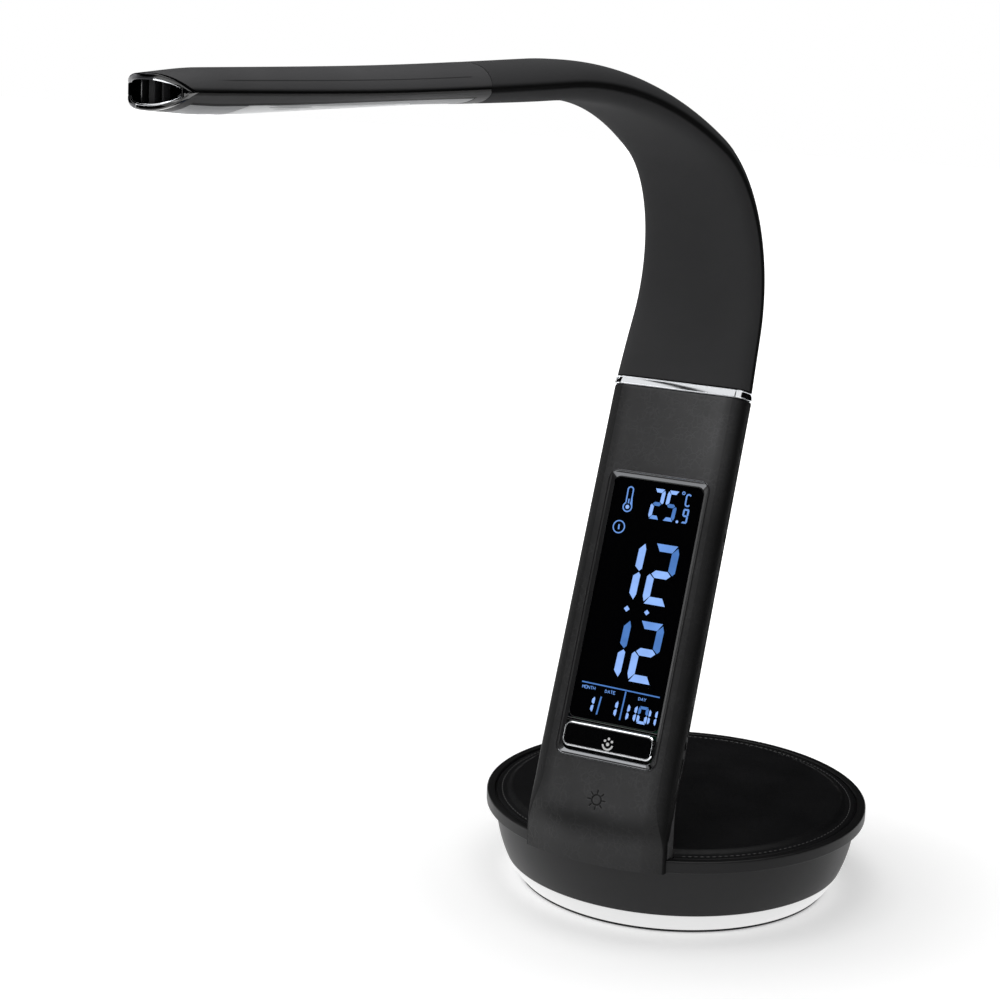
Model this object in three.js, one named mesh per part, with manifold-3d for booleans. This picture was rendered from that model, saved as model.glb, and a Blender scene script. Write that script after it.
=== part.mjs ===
// Desk lamp with a clock display in its stand, a flexible neck and a slim light head.
// Millimetres. The origin is the centre of the base's underside, +Z is up and the display faces -Y.
import * as THREE from 'three';
import { mergeVertices } from 'three/addons/utils/BufferGeometryUtils.js';
import Module from 'manifold-3d';

const wasm = await Module();
wasm.setup();

// Shared clearances and the overrun of every cut
const gap = 0.3;
const overrun = 2;

// Base
const rimRadius = 92;
const rimTopZ = 41;
const rimBandHeight = 5.7;
const rimWidth = 4;
const deckThickness = 2.5;
const padBoardThickness = 1.5;
const padCrown = 1.6;
const padMargin = 7;
const padShoulder = 2;
const bandOverhang = 4.8;
const skirtFlare = 5.5;
const skirtBottomZ = 10.6;
const skirtWall = 2;
const lightRingTaper = 5.9;
const lightRingWall = 2.4;
const soleSetback = 0.8;
const soleThickness = 1;
const plateThickness = 3;

// Inside the base
const ballastHeight = 12.7;
const ballastClearance = 1.9;
const postCount = 4;
const postRadius = 3.6;
const postClearance = 1.9;
const baseScrewShankRadius = 1.3;
const baseScrewHeadRadius = 2.8;
const baseScrewHeadHeight = 1.4;
const baseScrewDepth = 9;
const ledRingSetback = 1.4;
const ledRingWidth = 5;
const boardThickness = 1.6;
const ringLedCount = 12;
const ringLedSize = 2.8;
const ringLedHeight = 1;
const powerBoardWidth = 52;
const powerBoardDepth = 34;
const powerBoardSetback = 6;
const cellRadius = 10;
const cellHeight = 3.2;
const cellX = -14;
const sounderRadius = 6;
const sounderHeight = 4.5;
const sounderX = 15;

// DC inlet at the rear of the skirt
const inletZ = 24;
const inletHoleRadius = 5.6;
const jackWidth = 12;
const jackHeight = 11;
const jackDepth = 13;
const jackRecess = 5;
const jackBoreRadius = 2.8;
const jackPinRadius = 1;
const jackBoreDepth = 9;

// Stand
const lean = THREE.MathUtils.degToRad(20.8);
const standOverhang = 4;
const standFootWidth = 70.2;
const standThickness = 12.5;
const standWall = 2.2;
const standLength = 214.8;
const standEdgeRadius = 6;
const footEdgeRadius = 0.8;
const lipProud = 2.6;
const footDepth = 17.5;
const footBlend = 1.5;
const footBlendTopZ = 70;
const coverDepth = 8.6;
const coverFootDepth = 11.6;
const coverFootTopZ = 50;

// Display and snooze bar, measured along the stand from the rim's height
const bezelWidth = 51.3;
const bezelBottom = 41.5;
const bezelTop = 175.6;
const bezelDepth = 3;
const bezelCorner = 4.5;
const bezelBorder = 2.9;
const windowCorner = 2.2;
const windowBottom = 59.2;
const windowInset = 0.8;
const windowThickness = 1.2;
const lcdThickness = 1.8;
const lcdMargin = 2;
const backlightThickness = 1.8;
const snoozeBottom = 45.7;
const snoozeTop = 57.3;
const snoozeProud = 0.8;
const snoozeDepth = 3.2;
const snoozeStemSize = 3;
const snoozeStemLength = 0.8;
const snoozeTravel = 0.8;
const snoozeSwitchSize = 5;
const clockBoardThickness = 1.2;
const touchHeight = 24.2;
const touchRadius = 9;
const touchDepth = 3;
const touchThickness = 0.6;

// Clock keys in the rear cover
const keyCount = 3;
const keyRadius = 3;
const keyX = 16;
const keyFirstHeight = 92;
const keyPitch = 12;
const keyProud = 0.7;
const keyTravel = 0.5;
const keySwitchHeight = 0.8;
const keyFlangeWidth = 1;
const keyFlangeThickness = 0.7;

// Steel bracket from the base to the top of the stand
const bracketWidth = 20;
const bracketThickness = 1.6;
const bracketLegDepth = 13.6;
const bracketFootLength = 42.4;
const bracketFootZ = 26.2;
const bracketDepth = 9.2;
const bracketTop = 206.4;
const blockWidth = 28;
const blockLength = 24;
const bracketScrewX = 6;
const bracketScrewFromEnd = 9;
const bracketScrewRadius = 1.7;
const bracketScrewHeadRadius = 3.2;
const bracketScrewHeadHeight = 2.2;
const bracketScrewDepth = 6;

// Chrome ring and the socket that the neck starts from
const ringHeight = 217.6;
const ringTall = 3.6;
const ringProud = 0.5;
const socketWidth = 48;
const socketThickness = 7;
const socketBottom = 207;
const socketTop = 229;

// Neck and head: an arc for each stretch, each with its length and turn
const rootLength = 30;
const rootTurn = THREE.MathUtils.degToRad(-2.5);
const bendLength = 100.4;
const bendTurn = THREE.MathUtils.degToRad(85.3);
const sweepLength = 140;
const sweepTurn = THREE.MathUtils.degToRad(27.6);
const headStretchLength = 250;
const headTurn = THREE.MathUtils.degToRad(-1.7);
const rootWidth = 67.9;
const rootHalf = 6.25;
const bendStartWidth = 64.4;
const bendStartHalf = 6.7;
const bendEndWidth = 49.6;
const bendEndHalf = 6.3;
const bendEndDrop = 0.8;
const sweepEndWidth = 33.4;
const sweepEndUpper = 7.5;
const sweepEndLower = 8.8;
const sweepEndDrop = 1.6;
const headWidth = 32.4;
const headUpper = 6.5;
const headLower = 7.3;
const headDrop = 1.9;
const bulgeBeforeNose = 18;
const bulgeWidth = 24;
const bulgeUpper = 6;
const bulgeLower = 8.6;
const bulgeDrop = 1.3;
const mouthWidth = 22.6;
const mouthUpper = 4.2;
const mouthLower = 7;
const mouthDrop = 1;
const noseRound = 10.5;

const sleeveWall = 2.2;
const sleeveStart = 2.6;
const bendCount = 6;
const firstBend = 30;
const bendGap = 1.5;
const spineWidth = 18;
const spineThickness = 3;
const spineEndGap = 2.4;
const seam = 329.5;
const seamAfterBend = 49.5;
const seamBulge = 7;
const seamGap = 0.4;
const headLength = 182.5;

// Head
const headWall = 1.4;
const panelWidth = 20;
const panelNoseGap = 36;
const panelThickness = 1.8;
const panelSink = 0.5;
const ledBoardWidth = 12;
const ledBoardThickness = 1.2;
const ledBoardDepth = 1.4;
const headLedCount = 12;
const headLedSize = 2.6;
const headLedHeight = 0.7;
const spreaderWidth = 16;
const spreaderThickness = 1.5;
const trimWidth = 1.8;
const trimTail = 4;
const trimWall = 0.8;
const trimLip = 1.3;
const trimCuspProud = 1.5;
const plugLength = 8;
const plugFront = 3.5;

// How many steps a curve takes
const roundSteps = 60;
const smallSteps = 20;
const sectionSteps = 24;

// Materials, one fresh copy for each mesh
function finish(colour, roughness, metalness = 0) {
  return () => new THREE.MeshStandardMaterial({ color: colour, roughness, metalness });
}

const finishes = {
  satinBlack: finish(0x2f2f30, 0.45),
  leatherette: finish(0x353536, 0.6),
  padLeather: finish(0x121213, 0.42),
  softSleeve: finish(0x2d2d2d, 0.75),
  glossBlack: finish(0x060607, 0.08),
  frameGrey: finish(0x6b6c6e, 0.35, 0.4),
  chrome: finish(0xd6d8da, 0.08, 1),
  whiteDiffuser: finish(0xf2f2f2, 0.5),
  panelSilver: finish(0xb9bbbd, 0.35, 0.2),
  displayBlue: finish(0x4f86e0, 0.4),
  rubber: finish(0x18181a, 0.85),
  steel: finish(0xa9abad, 0.35, 1),
  iron: finish(0x55575a, 0.6, 0.8),
  board: finish(0x1f5c38, 0.5),
  copper: finish(0xb87442, 0.35, 1),
  fibreBoard: finish(0x6e5438, 0.85),
};

// Solids

// Merges shared corners, drops empty triangles and turns the faces outwards.
function clean(geometry) {
  geometry.deleteAttribute('normal');
  geometry.deleteAttribute('uv');
  const merged = mergeVertices(geometry, 1e-4);
  const position = merged.getAttribute('position');
  const kept = [];
  let volume = 0;
  const [a, b, c] = [new THREE.Vector3(), new THREE.Vector3(), new THREE.Vector3()];
  for (let i = 0; i < merged.index.count; i += 3) {
    const corners = [0, 1, 2].map((k) => merged.index.getX(i + k));
    if (new Set(corners).size < 3) continue;
    kept.push(...corners);
    a.fromBufferAttribute(position, corners[0]);
    b.fromBufferAttribute(position, corners[1]);
    c.fromBufferAttribute(position, corners[2]);
    volume += a.dot(b.cross(c));
  }
  if (volume < 0) kept.reverse();
  merged.setIndex(kept);
  return merged;
}

function toSolid(geometry) {
  const ready = clean(geometry);
  return new wasm.Manifold(new wasm.Mesh({
    numProp: 3,
    vertProperties: new Float32Array(ready.getAttribute('position').array),
    triVerts: new Uint32Array(ready.index.array),
  }));
}

function toGeometry(solid) {
  const mesh = solid.getMesh();
  const geometry = new THREE.BufferGeometry();
  geometry.setAttribute('position', new THREE.BufferAttribute(new Float32Array(mesh.vertProperties), 3));
  geometry.setIndex(new THREE.BufferAttribute(new Uint32Array(mesh.triVerts), 1));
  geometry.computeVertexNormals();
  return geometry;
}

// A body of revolution about Z from [radius, height] pairs that start and end on the axis or close.
function lathe(profile, steps = roundSteps) {
  const points = profile.map(([radius, height]) => new THREE.Vector2(radius, height));
  return new THREE.LatheGeometry(points, steps).rotateX(Math.PI / 2);
}

function disc(radius, bottom, top, steps = roundSteps) {
  return lathe([[0, bottom], [radius, bottom], [radius, top], [0, top]], steps);
}

function annulus(inner, outer, bottom, top) {
  return lathe([[inner, bottom], [outer, bottom], [outer, top], [inner, top], [inner, bottom]]);
}

function rod(radius, bottom, top, x, y) {
  return disc(radius, bottom, top, smallSteps).translate(x, y, 0);
}

// A box from its low corner and its high corner.
function block(low, high) {
  const size = high.map((value, axis) => value - low[axis]);
  const middle = high.map((value, axis) => (value + low[axis]) / 2);
  return new THREE.BoxGeometry(...size).translate(...middle);
}

function roundedOutline(target, halfWidth, bottom, top, corner) {
  target.moveTo(-halfWidth + corner, bottom);
  target.lineTo(halfWidth - corner, bottom);
  target.absarc(halfWidth - corner, bottom + corner, corner, -Math.PI / 2, 0);
  target.lineTo(halfWidth, top - corner);
  target.absarc(halfWidth - corner, top - corner, corner, 0, Math.PI / 2);
  target.lineTo(-halfWidth + corner, top);
  target.absarc(-halfWidth + corner, top - corner, corner, Math.PI / 2, Math.PI);
  target.lineTo(-halfWidth, bottom + corner);
  target.absarc(-halfWidth + corner, bottom + corner, corner, Math.PI, 1.5 * Math.PI);
  return target;
}

// A plate in the stand's own frame, with X across, Y into the stand and Z along it.
function standPlate(outline, front, back) {
  const plate = new THREE.ExtrudeGeometry(outline, { depth: back - front, bevelEnabled: false, curveSegments: 4 });
  return plate.rotateX(Math.PI / 2).translate(0, back, 0);
}

function roundedPlate(halfWidth, bottom, top, corner, front, back) {
  return standPlate(roundedOutline(new THREE.Shape(), halfWidth, bottom, top, corner), front, back);
}

// A thick sheet between two grids of points, open or closed on itself across the rows.
function thickSheet(outer, inner, closed) {
  const rows = outer.length;
  const columns = outer[0].length;
  const points = [...outer.flat(), ...inner.flat()];
  const index = [];
  const at = (side, row, column) => side * rows * columns + row * columns + (column % columns);
  const quad = (p, q, r, s) => index.push(p, q, r, p, r, s);
  const lastColumn = closed ? columns : columns - 1;
  for (let column = 0; column < lastColumn; column += 1) {
    for (let row = 0; row < rows - 1; row += 1) {
      quad(at(0, row, column), at(0, row + 1, column), at(0, row + 1, column + 1), at(0, row, column + 1));
      quad(at(1, row, column), at(1, row, column + 1), at(1, row + 1, column + 1), at(1, row + 1, column));
    }
    quad(at(0, 0, column), at(0, 0, column + 1), at(1, 0, column + 1), at(1, 0, column));
    const end = rows - 1;
    quad(at(0, end, column), at(1, end, column), at(1, end, column + 1), at(0, end, column + 1));
  }
  if (!closed) {
    const side = columns - 1;
    for (let row = 0; row < rows - 1; row += 1) {
      quad(at(0, row, 0), at(1, row, 0), at(1, row + 1, 0), at(0, row + 1, 0));
      quad(at(0, row, side), at(0, row + 1, side), at(1, row + 1, side), at(1, row, side));
    }
  }
  const geometry = new THREE.BufferGeometry().setFromPoints(points);
  geometry.setIndex(index);
  return geometry;
}

// A solid through rings of points, with flat ends.
function loft(rings) {
  const columns = rings[0].length;
  const middle = (ring) => ring.reduce((sum, point) => sum.add(point), new THREE.Vector3())
    .divideScalar(ring.length);
  const points = [...rings.flat(), middle(rings[0]), middle(rings.at(-1))];
  const index = [];
  const first = points.length - 2;
  const last = points.length - 1;
  const end = (rings.length - 1) * columns;
  for (let column = 0; column < columns; column += 1) {
    const next = (column + 1) % columns;
    for (let row = 0; row < rings.length - 1; row += 1) {
      const below = row * columns;
      const above = below + columns;
      index.push(below + column, above + column, above + next);
      index.push(below + column, above + next, below + next);
    }
    index.push(first, column, next);
    index.push(last, end + next, end + column);
  }
  const geometry = new THREE.BufferGeometry().setFromPoints(points);
  geometry.setIndex(index);
  return geometry;
}

// A flat strip of one thickness along a path of [y, z] points, extruded across X.
function bentStrip(path, width, thickness) {
  const points = path.map(([y, z]) => new THREE.Vector2(y, z));
  const left = [];
  const right = [];
  points.forEach((point, i) => {
    const into = points[Math.max(i, 1)].clone().sub(points[Math.max(i, 1) - 1]).normalize();
    const out = points[Math.min(i + 1, points.length - 1)].clone()
      .sub(points[Math.min(i, points.length - 2)]).normalize();
    const along = into.clone().add(out).normalize();
    const reach = thickness / 2 / Math.max(along.dot(into), 0.5);
    const across = new THREE.Vector2(-along.y, along.x).multiplyScalar(reach);
    left.push(point.clone().add(across));
    right.unshift(point.clone().sub(across));
  });
  const outline = new THREE.Shape([...left, ...right]);
  const strip = new THREE.ExtrudeGeometry(outline, { depth: width, bevelEnabled: false });
  return strip.translate(0, 0, -width / 2).applyMatrix4(new THREE.Matrix4().makeBasis(
    new THREE.Vector3(0, 1, 0), new THREE.Vector3(0, 0, 1), new THREE.Vector3(1, 0, 0),
  ));
}

const standFootY = -rimRadius - standOverhang;

// Places in the stand's frame, given across, into and along it, as places in the lamp's frame.
function onStand(x, depth, height) {
  return new THREE.Vector3(
    x,
    standFootY + depth * Math.cos(lean) + height * Math.sin(lean),
    rimTopZ - depth * Math.sin(lean) + height * Math.cos(lean),
  );
}

// Neck and head line

const arcs = [
  [rootLength, rootTurn],
  [bendLength, bendTurn],
  [sweepLength, sweepTurn],
  [headStretchLength, headTurn],
];

// The place and direction of the neck's middle line at a distance from the chrome ring.
function armPlace(distance) {
  const start = onStand(0, standThickness / 2, ringHeight);
  let { y, z } = start;
  let angle = Math.PI / 2 - lean;
  let left = distance;
  arcs.forEach(([length, turn], i) => {
    const step = i === arcs.length - 1 ? left : Math.min(left, length);
    const swept = (turn * step) / length;
    const chord = Math.abs(swept) < 1e-9 ? step : (2 * step * Math.sin(swept / 2)) / swept;
    y += chord * Math.cos(angle + swept / 2);
    z += chord * Math.sin(angle + swept / 2);
    angle += swept;
    left -= step;
  });
  return { y, z, angle };
}

// A point on the arm: distance along it, across it, and out of its upper or outer side.
function onArm(distance, x, out) {
  const { y, z, angle } = armPlace(distance);
  return new THREE.Vector3(x, y + out * Math.sin(angle), z - out * Math.cos(angle));
}

const lastBend = seam - seamAfterBend;
const nose = seam + headLength;
const bendEnd = rootLength + bendLength;
const sweepEnd = bendEnd + sweepLength;

// Upper and lower reach out of the middle line, and the drop puts the side edges below it.
const armKnots = [
  { at: 0, width: rootWidth, upper: rootHalf, lower: rootHalf, drop: 0 },
  { at: rootLength, width: bendStartWidth, upper: bendStartHalf, lower: bendStartHalf, drop: 0 },
  { at: bendEnd, width: bendEndWidth, upper: bendEndHalf, lower: bendEndHalf, drop: bendEndDrop },
  { at: sweepEnd, width: sweepEndWidth, upper: sweepEndUpper, lower: sweepEndLower, drop: sweepEndDrop },
  { at: (sweepEnd + nose) / 2, width: headWidth, upper: headUpper, lower: headLower, drop: headDrop },
  { at: nose - bulgeBeforeNose, width: bulgeWidth, upper: bulgeUpper, lower: bulgeLower, drop: bulgeDrop },
  { at: nose + noseRound, width: mouthWidth, upper: mouthUpper, lower: mouthLower, drop: mouthDrop },
];

// A smooth curve through the knots that never swings past them.
function alongKnots(key, distance) {
  const last = armKnots.length - 1;
  const at = Math.min(Math.max(distance, armKnots[0].at), armKnots[last].at);
  let i = 0;
  while (i < last - 1 && at > armKnots[i + 1].at) i += 1;
  const slope = (k) => (armKnots[k + 1][key] - armKnots[k][key]) / (armKnots[k + 1].at - armKnots[k].at);
  const tangent = (k) => {
    if (k === 0) return slope(0);
    if (k === last) return slope(last - 1);
    const before = slope(k - 1);
    const after = slope(k);
    return before * after <= 0 ? 0 : (2 * before * after) / (before + after);
  };
  const span = armKnots[i + 1].at - armKnots[i].at;
  const t = (at - armKnots[i].at) / span;
  const start = armKnots[i][key];
  const end = armKnots[i + 1][key];
  return start * (1 + 2 * t) * (1 - t) ** 2 + tangent(i) * span * t * (1 - t) ** 2
    + end * t * t * (3 - 2 * t) - tangent(i + 1) * span * t * t * (1 - t);
}

// The section runs from a flat oval at the ring to a lens with sharper edges at the head.
const rootSectionPower = 12;
const headSectionPower = 2.6;
const rootEdgePower = 0.5;
const headEdgePower = 0.72;
const lensFrom = bendEnd / 2;
const lensFull = seam;

function sectionHeight(distance, share) {
  const t = THREE.MathUtils.smoothstep(distance, lensFrom, lensFull);
  const power = THREE.MathUtils.lerp(rootSectionPower, headSectionPower, Math.sqrt(t));
  const edge = THREE.MathUtils.lerp(rootEdgePower, headEdgePower, t);
  return Math.max(0, 1 - Math.abs(share) ** power) ** edge;
}

// Shares of the half width at which a section has its points, closer together at the edges.
const acrossShares = Array.from({ length: sectionSteps / 2 + 1 }, (_, i) => {
  const turn = (i / (sectionSteps / 2)) * Math.PI;
  return -Math.cos(turn) * (1 + 0.12 * Math.sin(turn) ** 2);
});

// One side's row of points, upper or lower, at a distance that may change across the width.
function armRow(distanceAt, inset, side) {
  return acrossShares.map((share) => {
    const distance = distanceAt(share);
    const halfWidth = alongKnots('width', distance) / 2 - inset;
    const drop = alongKnots('drop', distance);
    const reach = side > 0 ? alongKnots('upper', distance) + drop : alongKnots('lower', distance) - drop;
    const out = side * (reach - inset) * sectionHeight(distance, share) - drop;
    return onArm(distance, halfWidth * share, out);
  });
}

function armRing(distanceAt, inset) {
  const upper = armRow(distanceAt, inset, 1);
  const lower = armRow(distanceAt, inset, -1);
  return [...upper, ...lower.slice(1, -1).reverse()];
}

// Distances from one end to the other in even steps.
function stations(from, to, pitch) {
  const count = Math.max(1, Math.round((to - from) / pitch));
  return Array.from({ length: count + 1 }, (_, i) => from + ((to - from) * i) / count);
}

function seamAt(share) {
  return seam - seamBulge * Math.sqrt(Math.max(0, 1 - share * share)) + seamBulge;
}

function noseAt(share) {
  return nose + noseRound * Math.sqrt(Math.max(0, 1 - share * share));
}

// Base pieces

const skirtTopRadius = rimRadius - bandOverhang;
const skirtBottomRadius = skirtTopRadius - skirtFlare;
const lightRingBottomRadius = skirtBottomRadius - lightRingTaper;
const soleRadius = lightRingBottomRadius - soleSetback;
const ledRingOuterRadius = lightRingBottomRadius - lightRingWall - ledRingSetback;
const ledRingInnerRadius = ledRingOuterRadius - ledRingWidth;
const postCircleRadius = ledRingInnerRadius - postClearance - postRadius;
const ballastRadius = postCircleRadius - postRadius - ballastClearance;
const powerBoardY = ballastRadius - powerBoardSetback - powerBoardDepth / 2;
const bracketLegY = standFootY + bracketLegDepth;
const bracketFootEndY = bracketLegY + bracketFootLength;
const bracketScrewY = bracketFootEndY - bracketScrewFromEnd;
const sideGap = rimWidth + gap;
const deckTopZ = rimTopZ - rimWidth + gap;
const bandBottomZ = rimTopZ - rimBandHeight;
const deckBottomZ = deckTopZ - deckThickness;
const plateBottomZ = soleThickness + gap;
const plateTopZ = plateBottomZ + plateThickness;
const innerFloorZ = plateTopZ + gap;
const ballastTopZ = innerFloorZ + ballastHeight;
const padRadius = rimRadius - sideGap;
const skirtTopZ = bandBottomZ - gap;
const lightRingTopZ = skirtBottomZ - gap;

function skirtRadius(z) {
  const t = (z - skirtBottomZ) / (bandBottomZ - skirtBottomZ);
  return skirtTopRadius - (skirtTopRadius - skirtBottomRadius) * (1 - t) ** 2;
}

function lightRingRadius(z) {
  const t = (lightRingTopZ - z) / (lightRingTopZ - plateBottomZ);
  const top = skirtRadius(lightRingTopZ);
  return top - (top - lightRingBottomRadius) * (0.7 * t + 0.3 * t * t);
}

// A closed ring profile between an outer curve and the same curve moved in by the wall.
function curvedRing(radiusAt, wall, bottom, top, steps) {
  const levels = Array.from({ length: steps + 1 }, (_, i) => bottom + ((top - bottom) * i) / steps);
  const outside = levels.map((z) => [radiusAt(z), z]);
  const inside = levels.map((z) => [radiusAt(z) - wall, z]).reverse();
  return lathe([...outside, ...inside, outside[0]]);
}

function postPlaces() {
  return Array.from({ length: postCount }, (_, i) => {
    const turn = ((i + 0.5) / postCount) * 2 * Math.PI;
    return [postCircleRadius * Math.cos(turn), postCircleRadius * Math.sin(turn)];
  });
}

function makeSole() {
  return clean(disc(soleRadius, 0, soleThickness));
}

function makePlate() {
  const edge = lightRingRadius(plateBottomZ) - lightRingWall - gap;
  let solid = toSolid(disc(edge, plateBottomZ, plateTopZ));
  const headTop = plateBottomZ + baseScrewHeadHeight + gap;
  postPlaces().forEach(([x, y]) => {
    const low = plateBottomZ - overrun;
    solid = solid.subtract(toSolid(rod(baseScrewHeadRadius + gap, low, headTop, x, y)));
    solid = solid.subtract(toSolid(rod(baseScrewShankRadius + gap, low, plateTopZ + overrun, x, y)));
  });
  return toGeometry(solid);
}

function makeBaseScrew([x, y]) {
  const neck = plateBottomZ + baseScrewHeadHeight;
  const tip = plateTopZ + baseScrewDepth;
  const profile = [
    [0, plateBottomZ], [baseScrewHeadRadius, plateBottomZ], [baseScrewHeadRadius, neck],
    [baseScrewShankRadius, neck], [baseScrewShankRadius, tip], [0, tip],
  ];
  return clean(lathe(profile, smallSteps).translate(x, y, 0));
}

function makeLightRing() {
  return clean(curvedRing(lightRingRadius, lightRingWall, plateBottomZ, lightRingTopZ, 5));
}

function inletHole() {
  const tube = disc(inletHoleRadius, 0, rimRadius, smallSteps).rotateX(-Math.PI / 2);
  return toSolid(tube.translate(0, 0, inletZ));
}

function makeSkirt() {
  const ring = toSolid(curvedRing(skirtRadius, skirtWall, skirtBottomZ, skirtTopZ, 6));
  return toGeometry(ring.subtract(inletHole()));
}

// The slot that the bracket's leg passes through.
function legSlot() {
  const half = bracketWidth / 2 + gap;
  const reach = bracketThickness / 2 + gap;
  return toSolid(block(
    [-half, bracketLegY - reach, deckBottomZ - overrun],
    [half, bracketLegY + reach, rimTopZ + overrun],
  ));
}

function makeTray() {
  const shoulder = skirtRadius(deckBottomZ) - skirtWall - gap;
  let solid = toSolid(lathe([
    [0, deckBottomZ], [shoulder, deckBottomZ], [shoulder, bandBottomZ], [rimRadius, bandBottomZ],
    [rimRadius, rimTopZ], [rimRadius - rimWidth, rimTopZ], [rimRadius - rimWidth, deckTopZ], [0, deckTopZ],
  ]));
  postPlaces().forEach(([x, y]) => {
    solid = solid.add(toSolid(rod(postRadius, innerFloorZ, deckBottomZ + gap, x, y)));
  });
  postPlaces().forEach(([x, y]) => {
    const bore = rod(baseScrewShankRadius + gap, plateTopZ, plateTopZ + baseScrewDepth + overrun, x, y);
    solid = solid.subtract(toSolid(bore));
  });
  return toGeometry(solid.subtract(legSlot()));
}

// The stand's foot stands in this notch of the pad and its board.
function footNotch() {
  const half = standFootWidth / 2 + gap;
  const top = rimTopZ + padCrown;
  return toSolid(block([-half, -rimRadius, deckTopZ], [half, standBackY(top) + gap, top + overrun]));
}

const padBoardTopZ = deckTopZ + gap + padBoardThickness;

function makePadBoard() {
  const board = toSolid(disc(padRadius - gap, deckTopZ + gap, padBoardTopZ));
  return toGeometry(board.subtract(footNotch()));
}

function makePad() {
  const bottom = padBoardTopZ + gap;
  const top = rimTopZ + padCrown;
  const flat = padRadius - padMargin;
  const solid = toSolid(lathe([
    [0, bottom], [padRadius, bottom], [padRadius, rimTopZ - padShoulder / 2], [flat + padShoulder, rimTopZ],
    [flat + padShoulder / 2, top - padShoulder / 4], [flat, top], [0, top],
  ]));
  return toGeometry(solid.subtract(footNotch()));
}

function bracketScrewPlaces() {
  return [-bracketScrewX, bracketScrewX].map((x) => [x, bracketScrewY]);
}

function screwBore([x, y], low, high) {
  return toSolid(rod(bracketScrewRadius + gap, low, high, x, y));
}

function makeBallast() {
  let solid = toSolid(disc(ballastRadius, innerFloorZ, ballastTopZ));
  bracketScrewPlaces().forEach((place) => {
    solid = solid.subtract(screwBore(place, ballastTopZ - bracketScrewDepth - gap, ballastTopZ + overrun));
  });
  return toGeometry(solid);
}

const bracketFootBottomZ = bracketFootZ - bracketThickness / 2;
const bracketFootTopZ = bracketFootZ + bracketThickness / 2;

function makeMountingBlock() {
  const top = bracketFootBottomZ - gap;
  let solid = toSolid(block(
    [-blockWidth / 2, bracketFootEndY - blockLength, ballastTopZ + gap],
    [blockWidth / 2, bracketFootEndY, top],
  ));
  bracketScrewPlaces().forEach((place) => {
    solid = solid.subtract(screwBore(place, ballastTopZ - overrun, top + overrun));
  });
  return toGeometry(solid);
}

function makeBracket() {
  const kink = (bracketLegY - standFootY - bracketDepth * Math.cos(lean)) / Math.sin(lean);
  const bend = onStand(0, bracketDepth, kink);
  const top = onStand(0, bracketDepth, bracketTop);
  const path = [
    [bracketFootEndY, bracketFootZ], [bracketLegY, bracketFootZ], [bend.y, bend.z], [top.y, top.z],
  ];
  let solid = toSolid(bentStrip(path, bracketWidth, bracketThickness));
  bracketScrewPlaces().forEach((place) => {
    solid = solid.subtract(screwBore(place, bracketFootBottomZ - overrun, bracketFootTopZ + overrun));
  });
  return toGeometry(solid);
}

function makeBracketScrew([x, y]) {
  const neck = bracketFootTopZ + gap;
  const top = neck + bracketScrewHeadHeight;
  const tip = ballastTopZ - bracketScrewDepth;
  const profile = [
    [0, tip], [bracketScrewRadius, tip], [bracketScrewRadius, neck],
    [bracketScrewHeadRadius, neck], [bracketScrewHeadRadius, top], [0, top],
  ];
  return clean(lathe(profile, smallSteps).translate(x, y, 0));
}

function makeLedRing() {
  const top = innerFloorZ + boardThickness;
  const middle = (ledRingInnerRadius + ledRingOuterRadius) / 2;
  let solid = toSolid(annulus(ledRingInnerRadius, ledRingOuterRadius, innerFloorZ, top));
  for (let i = 0; i < ringLedCount; i += 1) {
    const led = block(
      [middle - ringLedSize / 2, -ringLedSize / 2, top - gap],
      [middle + ringLedSize / 2, ringLedSize / 2, top + ringLedHeight],
    ).rotateZ((i / ringLedCount) * 2 * Math.PI);
    solid = solid.add(toSolid(led));
  }
  return toGeometry(solid);
}

const powerBoardBottomZ = ballastTopZ + gap;
const powerBoardTopZ = powerBoardBottomZ + boardThickness;

function makePowerBoard() {
  return clean(block(
    [-powerBoardWidth / 2, powerBoardY - powerBoardDepth / 2, powerBoardBottomZ],
    [powerBoardWidth / 2, powerBoardY + powerBoardDepth / 2, powerBoardTopZ],
  ));
}

function makeCell() {
  const bottom = powerBoardTopZ + gap;
  return clean(rod(cellRadius, bottom, bottom + cellHeight, cellX, powerBoardY));
}

function makeSounder() {
  const bottom = powerBoardTopZ + gap;
  return clean(rod(sounderRadius, bottom, bottom + sounderHeight, sounderX, powerBoardY));
}

function makeJack() {
  const face = skirtRadius(inletZ) - jackRecess - skirtWall;
  let solid = toSolid(block(
    [-jackWidth / 2, face - jackDepth, inletZ - jackHeight / 2],
    [jackWidth / 2, face, inletZ + jackHeight / 2],
  ));
  const tube = (radius, length) => toSolid(
    disc(radius, 0, length, smallSteps).rotateX(-Math.PI / 2).translate(0, face - jackBoreDepth, inletZ),
  );
  solid = solid.subtract(tube(jackBoreRadius, jackBoreDepth + overrun));
  const rootedPin = tube(jackPinRadius, jackBoreDepth - gap).add(
    tube(jackPinRadius, jackBoreDepth).translate([0, -overrun, 0]),
  );
  return toGeometry(solid.add(rootedPin));
}

// Stand pieces

const lipRadius = rimRadius + lipProud;
const footBackY = standFootY + footDepth;
const coverFootY = standFootY + coverFootDepth;

// The front leaves its leaning plane low down and bends onto an upright round lip over the rim band.
function standFrontY(x, z) {
  const plane = standFootY + (z - rimTopZ) * Math.tan(lean);
  const lip = -Math.sqrt(lipRadius ** 2 - x ** 2);
  return (plane + lip + Math.sqrt((plane - lip) ** 2 + 4 * footBlend ** 2)) / 2;
}

function standBackY(z) {
  const plane = standFootY + (z - rimTopZ) * Math.tan(lean) + standThickness / Math.cos(lean);
  return (plane + footBackY + Math.sqrt((plane - footBackY) ** 2 + 4 * footBlend ** 2)) / 2;
}

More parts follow.
